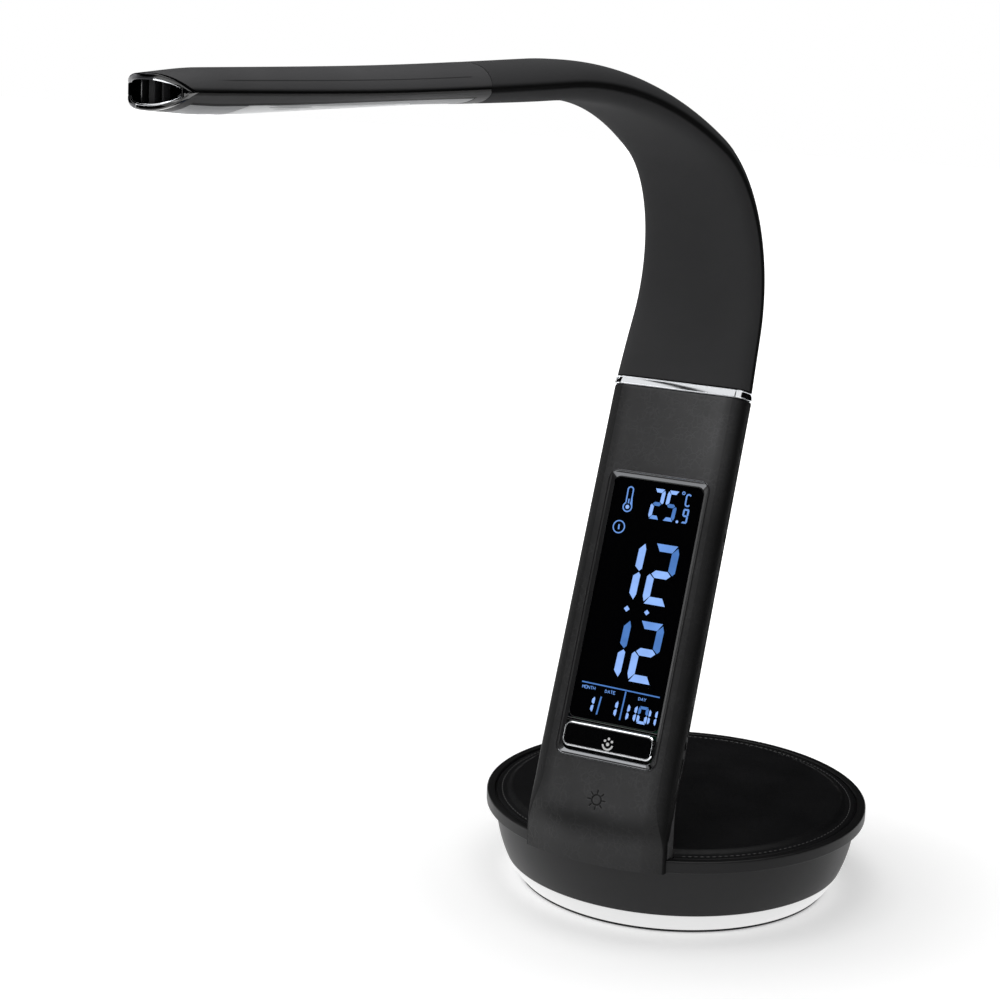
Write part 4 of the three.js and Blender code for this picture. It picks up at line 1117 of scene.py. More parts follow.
    def light_ring(self) -> None:
        """The white ring under the skirt, with a fine step near its foot, and the sole."""
        high = self.skirt_low - GAP
        top = self.skirt_radius(high)
        outside = []
        for z in np.linspace(high, self.ring_low, 25):
            t = (high - z) / (high - self.ring_low)
            fall = (1.0 - self.ring_curve) * t + self.ring_curve * t * t
            step = self.ring_step if z < self.ring_step_top else 0.0
            outside.append((top - (top - self.ring_bottom_radius) * fall - step, float(z)))
        inside = [(radius - self.ring_wall, z) for radius, z in outside[::-1]]
        # The ring's finish glows as painted light
        dress(turned("light_ring_lens", outside + inside, DIFFUSER), "white_diffuser", "base", "light_ring")
        top, radius = self.sole_top, self.sole_radius
        sole = soften([(0.0, top), (radius, top), (radius, 0.0), (0.0, 0.0)], {1: 0.25, 2: 0.35})
        dress(turned("sole_ring", sole, RUBBER), "rubber", "base", "sole")

    def pad_height(self, radius: np.ndarray, turn: np.ndarray) -> np.ndarray:
        """The pad's top surface, with its crown, soft shoulder, stitch channel and puckers.

        Args:
            radius: Distances from the middle.
            turn: Turns round it.

        Returns:
            The heights.
        """
        crown = np.maximum(self.pad_crown * (1.0 - (radius / self.pad_flat) ** 2), 0.0)
        shoulder = self.pad_shoulder * smoothstep(radius, self.pad_flat - 1.6, self.pad_flat + 2.2)
        margin = (radius - self.pad_flat) / (self.pad_radius - self.pad_flat)
        edge = self.pad_edge * smoothstep(radius, self.pad_radius - 1.3, self.pad_radius)
        height = self.pad_top - self.pad_crown + crown - shoulder
        height = height - self.pad_slope * np.clip(margin, 0.0, 1.0) - edge
        channel = np.exp(-(((radius - self.stitch_radius) / self.channel_width) ** 2))
        pucker = 0.5 + 0.5 * np.cos(turn * self.stitch_count)
        wave = np.exp(-(((radius - self.pad_flat - 1.0) / self.wave_width) ** 2))
        wave = wave * np.sin(turn * 23.0 + 2.0 * np.sin(turn * 5.0))
        return height - channel * (self.channel_depth + self.pucker_depth * pucker) + self.wave_height * wave

    def pad(self) -> None:
        """The leatherette pad with the notch that the stand's foot stands in."""
        radii = np.concatenate([np.linspace(*run) for run in self.pad_runs])
        radius, turn = np.meshgrid(radii, round_turns(self.stitch_count * 4), indexing="ij")
        top = np.stack([radius * np.cos(turn), radius * np.sin(turn), self.pad_height(radius, turn)], -1)
        low = top[[-1, 0]]
        low[..., 2] = self.pad_low
        skin = Skin()
        skin.sweep(np.concatenate([top, low]))
        piece = skin.build("stitched_pad", [PAD_LEATHER], sharp=self.pad_sharp)
        carve(piece, [self.block(self.notch_half, self.cut_front, self.notch_back)], self.pad_sharp)
        dress(piece, "pad_leatherette", "base", "leatherette_pad")

    def stitches(self) -> None:
        """The ring of stitches on the pad's margin, which stops at the notch."""
        lengths = {
            "Radius": self.stitch_radius,
            "Height": self.pad_height(np.array(self.stitch_radius), np.array(0.0)) + self.stitch_rise,
            "Half length": self.stitch_half[0], "Half width": self.stitch_half[1],
            "Half rise": self.stitch_half[2], "Notch half": self.notch_half + self.stitch_room,
            "Notch back": self.stitch_front,
        }
        graph, given = new_tree("stitch_ring", [*lengths, "Count stitches"])
        count = given["Count stitches"]
        ends = {"Resolution": count, "Radius": given["Radius"]}
        circle = graph.out("GeometryNodeCurvePrimitiveCircle", ends)
        dots = graph.add("GeometryNodeCurveToPoints", {"Curve": circle, "Count": count}, mode="COUNT")
        place = graph.add("ShaderNodeSeparateXYZ", {0: graph.out("GeometryNodeInputPosition")})
        inside, aside = True, graph.reckon("ABSOLUTE", place.outputs[0])
        for value, limit in ((aside, "half"), (place.outputs[1], "back")):
            ends = {0: value, 1: given[f"Notch {limit}"]}
            less = graph.out("FunctionNodeCompare", ends, operation="LESS_THAN")
            inside = graph.out("FunctionNodeBooleanMath", {0: inside, 1: less}, operation="AND")
        cut = {"Geometry": dots.outputs[0], "Selection": inside}
        kept = graph.out("GeometryNodeDeleteGeometry", cut, domain="POINT")
        lift = graph.out("ShaderNodeCombineXYZ", {2: given["Height"]})
        raised = graph.out("GeometryNodeSetPosition", {"Geometry": kept, "Offset": lift})
        along = graph.out("FunctionNodeAlignRotationToVector", {"Vector": dots.outputs["Tangent"]}, axis="X")
        halves = {0: given["Half length"], 1: given["Half width"], 2: given["Half rise"]}
        size = graph.out("ShaderNodeCombineXYZ", halves)
        thread = graph.out("GeometryNodeMeshUVSphere", {"Segments": 10, "Rings": 6, "Radius": 1.0})
        ends = {"Points": raised, "Instance": thread, "Rotation": along, "Scale": size}
        real = graph.out("GeometryNodeRealizeInstances", {0: graph.out("GeometryNodeInstanceOnPoints", ends)})
        tree = end_tree(graph, graph.out("GeometryNodeSetShadeSmooth", {0: real}), THREAD)
        piece = grown("pad_stitches", tree, lengths, {"Count stitches": self.stitch_count})
        dress(piece, "pad_leatherette", "base")


# Stand


@dataclass
class Stand:
    """Leaning stand in two leatherette-covered shells, with the touch mark pressed into its front."""

    plane: StandPlane = StandPlane()
    foot_width: float = 70.2
    top_width: float = 67.9
    length: float = 214.8
    skin_top: float = 215.5
    tuck_from: float = 214.6
    tuck_depth: float = 0.35
    thickness: float = 12.5
    edge: float = 6.0
    foot_edge: float = 0.8
    least_edge: float = 0.3
    lip_radius: float = 94.6
    lip_blend: float = 3.0
    foot_back: float = -78.5
    cover_depth: float = 8.6
    cover_foot: float = -84.4
    cover_from: float = 50.0
    rear_low: float = -79.9
    band_bottom: float = 35.3
    rim_radius: float = 92.0
    rim_room: float = 0.35
    rim_top: float = 41.0
    blend_low: float = 45.0
    blend_top: float = 70.0
    first_along: float = 41.2
    bend_shares: tuple[float, ...] = (0.25, 0.5, 0.75)
    wall: float = 1.3
    face_half: float = 26.0
    window_half: float = 24.2
    window_low: float = 42.9
    window_high: float = 174.2
    mark_across: float = -0.2
    mark_along: float = 24.2
    mark_radius: float = 2.3
    mark_ray_from: float = 3.15
    mark_ray_to: float = 4.35
    mark_stroke: float = 0.459
    mark_depth: float = 0.3
    mark_soft: float = 0.16
    mark_columns: Point3 = (-5.2, 5.01, 0.17)
    mark_rows: Point3 = (18.9, 29.5, 0.17)
    # Painted shade on the stand's long edges and sides, on the face near them and in the bend above the foot
    edge_painted_shade: float = 0.96
    face_painted_shade: float = 0.55
    face_painted_shade_run: float = 5.5
    bend_painted_shade: float = 0.7
    # Painted shade over the front, least where its painted sheen lies
    painted_sheen_range: float = 0.69
    bend_level: float = 53.5
    bend_spread: float = 5.5
    key_x: float = 16.0
    key_alongs: tuple[float, ...] = (92.0, 104.0, 116.0)
    key_hole: float = 3.3
    key_cut: Point2 = (9.0, 15.0)
    key_profile: tuple[Point2, ...] = (
        (0.0, 9.3), (4.0, 9.3), (4.0, 10.0), (3.0, 10.0), (3.0, 13.2), (2.2, 13.2), (1.6, 12.95), (0.0, 12.9),
    )

    def half_width(self, along: np.ndarray) -> np.ndarray:
        """Half of the stand's width up its length."""
        return (self.foot_width + (self.top_width - self.foot_width) * np.asarray(along) / self.length) / 2.0

    def half_at(self, z: float) -> float:
        """Half of the stand's width at a level."""
        return float(self.half_width((z - self.rim_top) / math.cos(self.plane.lean)))

    def blended(self, first: np.ndarray, second: np.ndarray) -> np.ndarray:
        """The farther back of two places, with a soft bend where they meet."""
        return (first + second + np.sqrt((first - second) ** 2 + self.lip_blend**2)) / 2.0

    def front_back(self, across: np.ndarray, z: np.ndarray) -> np.ndarray:
        """How far back the front lies at a level, bending from the leaning plane to the round lip."""
        return self.blended(self.plane.back_at(z), -np.sqrt(self.lip_radius**2 - across**2))

    def rear_back(self, z: float) -> float:
        """How far back the rear lies at a level."""
        leaning = self.plane.back_at(z) + self.thickness / math.cos(self.plane.lean)
        return float(self.blended(leaning, self.foot_back))

    def tuck(self, along: float) -> float:
        """How far the shells turn in near their top."""
        return self.tuck_depth * max(0.0, (along - self.tuck_from) / (self.skin_top - self.tuck_from)) ** 2

    def mark(self, across: np.ndarray, along: np.ndarray) -> np.ndarray:
        """How far a place on the front lies in the pressed sun: a ring with eight short rays.

        Args:
            across: Distances from the middle.
            along: Distances up the stand.

        Returns:
            Shares from 0 outside to 1 inside.
        """
        x, y = across - self.mark_across, along - self.mark_along
        radius, turn = np.hypot(x, y), np.arctan2(y, x)
        ring = np.abs(radius - self.mark_radius) - self.mark_stroke
        sector = (turn + math.pi / 8.0) % (math.pi / 4.0) - math.pi / 8.0
        aside = np.abs(radius * np.sin(sector))
        outward = radius * np.cos(sector)
        past = np.maximum(np.maximum(self.mark_ray_from - outward, outward - self.mark_ray_to), 0.0)
        ray = np.hypot(aside, past) - self.mark_stroke * 0.95
        return 1.0 - smoothstep(np.minimum(ring, ray), -self.mark_soft, self.mark_soft)

    def painted_sheen_shade(self, across: np.ndarray, along: np.ndarray) -> np.ndarray:
        """Painted shade over the leatherette, least where a painted sheen lies low down and high up to the
        right.

        Args:
            across: Distances from the middle.
            along: Distances up the stand.

        Returns:
            Shares of the light that are lost: fewer low down, and high up to the right.
        """
        right = across / self.half_width(along) / 2.0 + 0.5
        low = 1.0 - smoothstep(along, 38.0, 60.0)
        high = smoothstep(along, 150.0, 200.0)
        light = low * 0.3 * smoothstep(along, -4.0, 14.0) + (1.0 - low) * (0.1 + 0.12 * right)
        light = light + high * (0.12 + 0.95 * right**2)
        return self.painted_sheen_range * (1.0 - np.minimum(light, 1.0))

    def columns(self) -> tuple[np.ndarray, np.ndarray]:
        """Values and kinds of the columns round the front shell.

        Returns:
            The value of each column (a place across on the face, a turn on an edge, a share of the
            way back on a side) and its kind: 0 face, 1 edge, 2 side, less than 0 on the left.
        """
        face = np.unique(np.round(np.concatenate([
            np.arange(*self.mark_columns), np.arange(-self.face_half, self.face_half + 0.1, 2.0),
            [-self.window_half, self.window_half],
        ]), 4))
        edge = np.linspace(0.0, math.pi / 2.0, 9)
        side = np.linspace(0.0, 1.0, 5)[1:]
        runs = [side[::-1], edge[::-1], face, edge, side]
        return np.concatenate(runs), np.repeat([-2.0, -1.0, 0.0, 1.0, 2.0], [len(run) for run in runs])

    def section(
        self, half: float, radius: float, reach: float, values: np.ndarray, kinds: np.ndarray,
    ) -> tuple[np.ndarray, np.ndarray]:
        """Across and depth of each column at one row.

        Args:
            half: Half width of the row.
            radius: Radius of its long edges.
            reach: Depth that its sides go back to.
            values: The columns' values.
            kinds: Their kinds.

        Returns:
            The places across and the depths.
        """
        is_edge, is_side = np.abs(kinds) == 1, np.abs(kinds) == 2
        across = np.where(is_edge, np.sign(kinds) * (half - radius + radius * np.sin(values)), values)
        across = np.where(is_side, np.sign(kinds) * half, across)
        depth = np.where(is_edge, radius - radius * np.cos(values), 0.0)
        depth = np.where(is_side, radius + (reach - radius) * values, depth)
        return across, depth

    def edge_radius(self, z: float, inset: float) -> float:
        """Radius of the stand's long edges at a level, inside its surface by an inset."""
        t = float(smoothstep(z, self.blend_low, self.blend_top))
        return max(self.foot_edge + (self.edge - self.foot_edge) * t - inset, self.least_edge)

    def split_back(self, z: float, side: float) -> float:
        """How far back one side of the joint of both shells lies.

        Args:
            z: The level.
            side: -1 for the front shell's side, 1 for the rear cover's side.

        Returns:
            The place.
        """
        if z <= self.cover_from:
            return self.cover_foot + side * GAP / 2.0
        return self.plane.back_at(z) + (self.cover_depth + side * GAP / 2.0) / math.cos(self.plane.lean)

    def level_row(self, z: float, inset: float, values: np.ndarray, kinds: np.ndarray) -> np.ndarray:
        """One level row of the front shell, low on the stand.

        Args:
            z: Its level.
            inset: How far inside the surface it lies.
            values: The columns' values.
            kinds: Their kinds.

        Returns:
            Its points.
        """
        outer_half, radius = self.half_at(z), self.edge_radius(z, inset)
        end = self.split_back(z, -1.0)
        if z < self.rim_top + 0.4:
            end = -math.sqrt((self.rim_radius + self.rim_room) ** 2 - outer_half**2)
        front = float(self.front_back(outer_half, z))
        reach = max(end - front - inset, radius + 0.05)
        across, depth = self.section(outer_half - inset, radius, reach, values, kinds)
        back = self.front_back(across / (outer_half - inset) * outer_half, z) + inset + depth
        return np.stack([across, back, np.full_like(across, z)], -1)

    def leaning_row(self, along: float, inset: float, values: np.ndarray, kinds: np.ndarray) -> np.ndarray:
        """One row of the front shell across the leaning stand.

        Args:
            along: Its distance up the stand.
            inset: How far inside the surface it lies.
            values: The columns' values.
            kinds: Their kinds.

        Returns:
            Its points.
        """
        reach = self.cover_depth - GAP / 2.0 - inset
        half = float(self.half_width(along)) - inset
        across, depth = self.section(half, self.edge - inset, reach, values, kinds)
        return self.plane.place(across, depth + inset, along)

    def shades(
        self, places: np.ndarray, marks: np.ndarray, values: np.ndarray, kinds: np.ndarray,
    ) -> np.ndarray:
        """How dark the leatherette is: painted shade over its front, on its edges and in its bend, and the
        pressed sun.

        Args:
            places: The outer points.
            marks: How far each lies in the pressed sun.
            values: The columns' values.
            kinds: Their kinds.

        Returns:
            Shares of the light that are lost.
        """
        across = places[..., 0]
        along = (places[..., 2] - self.rim_top) / math.cos(self.plane.lean)
        aside = self.half_width(along) - np.abs(across)
        # Painted shade: the face darkens towards its sides, and the long edges and sides are darkest
        rise = 1.0 - self.face_painted_shade
        face = self.face_painted_shade * (1.0 - smoothstep(aside, self.edge, self.edge + self.face_painted_shade_run))
        edge = np.where(np.abs(kinds) == 1, self.face_painted_shade + rise * smoothstep(values, 0.0, 1.1), 1.0)
        sides_painted_shade = self.edge_painted_shade * np.where(kinds == 0, face, edge)
        # Painted shade in the concave bend above the foot
        bend = self.bend_painted_shade * np.exp(-(((places[..., 2] - self.bend_level) / self.bend_spread) ** 2))
        return np.maximum(marks, 1.0 - (1.0 - self.painted_sheen_shade(across, along)) * (1.0 - sides_painted_shade) * (1.0 - bend))

    def front(self) -> None:
        """The front shell: face, long edges and most of the sides, open where the display sits."""
        values, kinds = self.columns()
        cos = math.cos(self.plane.lean)
        levels = np.unique(np.round(np.concatenate([
            np.linspace(self.band_bottom, self.rim_top + 0.3, 8),
            np.arange(self.rim_top + 0.5, self.blend_top, 1.1),
            self.rim_top + np.arange(*self.mark_rows) * cos, [self.blend_top],
        ]), 3))
        leaning = [
            self.first_along, self.window_low, *np.arange(48.0, 172.0, 6.0), self.window_high,
            180.0, 190.0, 200.0, 210.0, 214.3, 215.0, self.skin_top,
        ]
        grids = []
        for inset in (0.0, self.wall):
            rows = [self.level_row(float(z), inset, values, kinds) for z in levels]
            last, first = rows[-1], self.leaning_row(leaning[0], inset, values, kinds)
            rows += [last + (first - last) * share for share in self.bend_shares]
            rows += [self.leaning_row(along, inset + self.tuck(along), values, kinds) for along in leaning]
            grids.append(np.stack(rows))
        outer, inner = grids
        marks = np.where(kinds == 0, self.mark(outer[..., 0], (outer[..., 2] - self.rim_top) / cos), 0.0)
        shades = self.shades(outer, marks, values, kinds)
        sunk = marks[..., None] * self.mark_depth * self.plane.into()
        before, sides = len(levels) + len(self.bend_shares), values.tolist()
        bottom, top = (before + leaning.index(along) for along in (self.window_low, self.window_high))
        left, right = (sides.index(side) for side in (-self.window_half, self.window_half))
        keep = np.ones((len(outer) - 1, len(kinds) - 1), bool)
        keep[bottom:top, left:right] = False
        skin = Skin()
        skin.wall(outer + sunk, inner + sunk, keep, shades)
        # Cells of the long edges and sides take the duller finish
        edges = ((kinds[:-1] != 0) & (kinds[1:] != 0))[np.nonzero(keep)[1]]
        skin.shades[:len(edges)] = edges.astype(int).tolist()
        piece = skin.build("stand_front_cover", [LEATHER, EDGE_LEATHER], sharp=SOFT_TURN)
        dress(piece, "stand_leatherette", "base", "stand_front")

    def rear_section(
        self, half: float, radius: float, front: float, rear: float,
    ) -> tuple[np.ndarray, np.ndarray]:
        """One row of the rear cover, from the left side round to the right side.

        Args:
            half: Half of its width.
            radius: Radius of its edges.
            front: How far back its sides start.
            rear: How far back its face lies.

        Returns:
            Places across and back.
        """
        turns = np.linspace(0.0, math.pi / 2.0, 9)
        face = np.linspace(1.0, -1.0, 15)[1:-1] * (half - radius)
        side = front + (rear - radius - front) * np.linspace(0.0, 1.0, 4)[:-1]
        turn_x, turn_y = half - radius + radius * np.cos(turns), rear - radius + radius * np.sin(turns)
        across = np.concatenate([np.full(3, half), turn_x, face, -turn_x[::-1], np.full(3, -half)])
        back = np.concatenate([side, turn_y, np.full(len(face), rear), turn_y[::-1], side[::-1]])
        return across, back

    def rear(self) -> None:
        """The rear cover, with holes for the clock keys."""
        foot = [37.6, 39.0, 40.4, 41.34]
        levels = np.concatenate([foot, np.arange(41.42, self.blend_top, 1.6), [self.blend_top]])
        alongs = [self.first_along, *np.arange(50.0, 214.0, 8.0), 214.3, 215.0, self.skin_top]
        grids = []
        for inset in (0.0, self.wall):
            rows = []
            for z in levels:
                radius, rear = self.edge_radius(z, inset), self.rear_back(z) - inset
                start = self.rear_low if z < self.rim_top + 0.38 else self.split_back(z, 1.0)
                start = min(start, rear - radius - 0.05)
                across, back = self.rear_section(self.half_at(z) - inset, radius, start, rear)
                rows.append(np.stack([across, back, np.full_like(across, z)], -1))
            for along in alongs:
                tuck = inset + self.tuck(along)
                half, rear = float(self.half_width(along)) - tuck, self.thickness - tuck
                across, depth = self.rear_section(half, self.edge - inset, self.cover_depth + GAP / 2.0, rear)
                rows.append(self.plane.place(across, depth, along))
            grids.append(np.stack(rows))
        skin = Skin()
        skin.wall(*grids)
        piece = skin.build("stand_rear_cover", [EDGE_LEATHER], sharp=SOFT_TURN)
        holes = [(self.key_x, along) for along in self.key_alongs]
        cutters = [round_cutter(self.plane.place, hole, self.key_hole, self.key_cut, 40) for hole in holes]
        carve(piece, cutters, SOFT_TURN)
        dress(piece, "stand_leatherette", "base", "stand_back")

    def keys(self) -> None:
        """The three round clock keys, each with a dished end."""
        rings = lathe(soften(self.key_profile, {4: 0.35, 5: 0.2}), 40)
        for i, along in enumerate(self.key_alongs):
            skin = Skin()
            skin.sweep(self.plane.place(self.key_x + rings[..., 0], rings[..., 2], along + rings[..., 1]))
            cap = skin.build(f"key_cap_{i + 1}", [SATIN])
            dress(cap, "satin_black", f"key_{i + 1}", f"clock_key_{i + 1}")

    def build(self) -> None:
        """Makes every piece of the stand."""
        self.front()
        self.rear()
        self.keys()


# Display


class Segment(Enum):
    """The seven bars of a clock figure, in the order that a text of strengths names them."""

    TOP = "top"
    UPPER_RIGHT = "upper right"
    LOWER_RIGHT = "lower right"
    BOTTOM = "bottom"
    LOWER_LEFT = "lower left"
    UPPER_LEFT = "upper left"
    MIDDLE = "middle"


@dataclass(frozen=True)
class Figure:
    """A seven-bar figure.

    It has a lower left corner, a size, a bar thickness and the strength of each lit bar, from 0
    to 2, with a dash for an unlit one; then how far it slants, and the space between its bars.
    """

    left: float
    low: float
    width: float
    height: float
    bar: float
    lit: str
    slant: float = 0.03
    space: float = 0.3

    def outline(self, segment: Segment) -> np.ndarray:
        """Points round one bar.

        Args:
            segment: Which bar.

        Returns:
            The points, across and along.
        """
        width, top, bar, space = self.width, self.height, self.bar, self.space
        middle, cut = top / 2.0, 0.28 * bar
        if segment in (Segment.TOP, Segment.BOTTOM):
            left = [(0.9 * bar + space, top - bar), (cut + space, top)]
            corners = left + [(width - x, y) for x, y in left[::-1]]
        elif segment is Segment.MIDDLE:
            left = [(bar + space * 0.4, middle - bar / 2.0), (0.42 * bar + space, middle)]
            left.append((bar + space * 0.4, middle + bar / 2.0))
            corners = left + [(width - x, y) for x, y in left[::-1]]
        else:
            corners = [
                (width - cut, top - space - 0.2 * bar), (width, top - space - 0.9 * bar),
                (width, middle + space + 0.35 * bar), (width - 0.32 * bar, middle + space),
                (width - bar, middle + space + 0.55 * bar), (width - bar, top - bar - space),
            ]
        points = np.array(corners)
        if segment in (Segment.BOTTOM, Segment.LOWER_RIGHT, Segment.LOWER_LEFT):
            points[:, 1] = top - points[:, 1]
        if segment in (Segment.UPPER_LEFT, Segment.LOWER_LEFT):
            points[:, 0] = width - points[:, 0]
        points[:, 0] += self.left + self.slant * points[:, 1]
        points[:, 1] += self.low
        return points

    def bars(self) -> list[tuple[np.ndarray, int]]:
        """The outline and the strength of every lit bar."""
        return [(self.outline(bar), int(lit)) for bar, lit in zip(Segment, self.lit) if lit != "-"]


FIGURES = (
    Figure(-14.1, 116.0, 13.2, 28.2, 3.5, "-00----"),
    Figure(2.55, 116.0, 13.2, 28.2, 3.5, "12-00-0"),
    Figure(-14.1, 79.9, 13.2, 28.2, 3.5, "-20----"),
    Figure(2.55, 79.9, 13.2, 28.2, 3.5, "12-00-0"),
    Figure(-2.6, 155.0, 6.0, 14.3, 1.75, "00-10-2", 0.05, 0.2),
    Figure(4.55, 155.0, 6.0, 14.3, 1.75, "0-21-02", 0.05, 0.2),
    Figure(14.1, 155.1, 3.0, 6.8, 0.85, "1111-11", 0.04, 0.04),
    Figure(-14.2, 62.6, 3.1, 7.8, 1.35, "-00----", 0.05, 0.12),
    Figure(-2.3, 62.6, 3.1, 7.8, 1.35, "-00----", 0.05, 0.12),
    Figure(5.75, 62.0, 4.9, 7.9, 1.3, "-00-00-", 0.05, 0.12),
    Figure(11.35, 61.8, 5.0, 8.0, 1.3, "220002-", 0.03, 0.12),
    Figure(16.75, 61.9, 4.3, 7.4, 1.1, "-00-00-", 0.03, 0.12),
)
LETTERS = {
    "A": [[(0, 0), (0.5, 1), (1, 0)], [(0.2, 0.4), (0.8, 0.4)]],
    "D": [[(0, 0), (0, 1), (0.8, 0.8), (1, 0.5), (0.8, 0.2), (0, 0)]],
    "E": [[(1, 0), (0, 0), (0, 1), (1, 1)], [(0, 0.5), (0.8, 0.5)]],
    "H": [[(0, 0), (0, 1)], [(1, 0), (1, 1)], [(0, 0.5), (1, 0.5)]],
    "M": [[(0, 0), (0, 1), (0.5, 0.4), (1, 1), (1, 0)]],
    "N": [[(0, 0), (0, 1), (1, 0), (1, 1)]],
    "O": [[(0, 0), (0, 1), (1, 1), (1, 0), (0, 0)]],
    "T": [[(0, 1), (1, 1)], [(0.5, 1), (0.5, 0)]],
    "Y": [[(0, 1), (0.5, 0.5), (1, 1)], [(0.5, 0.5), (0.5, 0)]],
}


def disc(x: float, y: float, radius: float, sides: int = 20) -> np.ndarray:
    """Points round a dot."""
    turns = round_turns(sides)
    return np.stack([x + radius * np.cos(turns), y + radius * np.sin(turns)], -1)


def stroke(path: Sequence[Point2], width: float) -> np.ndarray:
    """Points round a stroke of one width.

    Args:
        path: Its middle line.
        width: Its width.

    Returns:
        The points, across and along.
    """
    line = np.array(path, float)
    into = np.gradient(line, axis=0)
    into /= np.linalg.norm(into, axis=1)[:, None]
    aside = np.stack([-into[:, 1], into[:, 0]], -1) * width / 2.0
    return np.concatenate([line + aside, (line - aside)[::-1]])


def arc(x: float, y: float, radius: float, start: float, end: float, steps: int = 24) -> list[Point2]:
    """A path along an arc, between two turns in degrees."""
    turns = np.radians(np.linspace(start, end, steps))
    return [(x + radius * math.cos(t), y + radius * math.sin(t)) for t in turns]


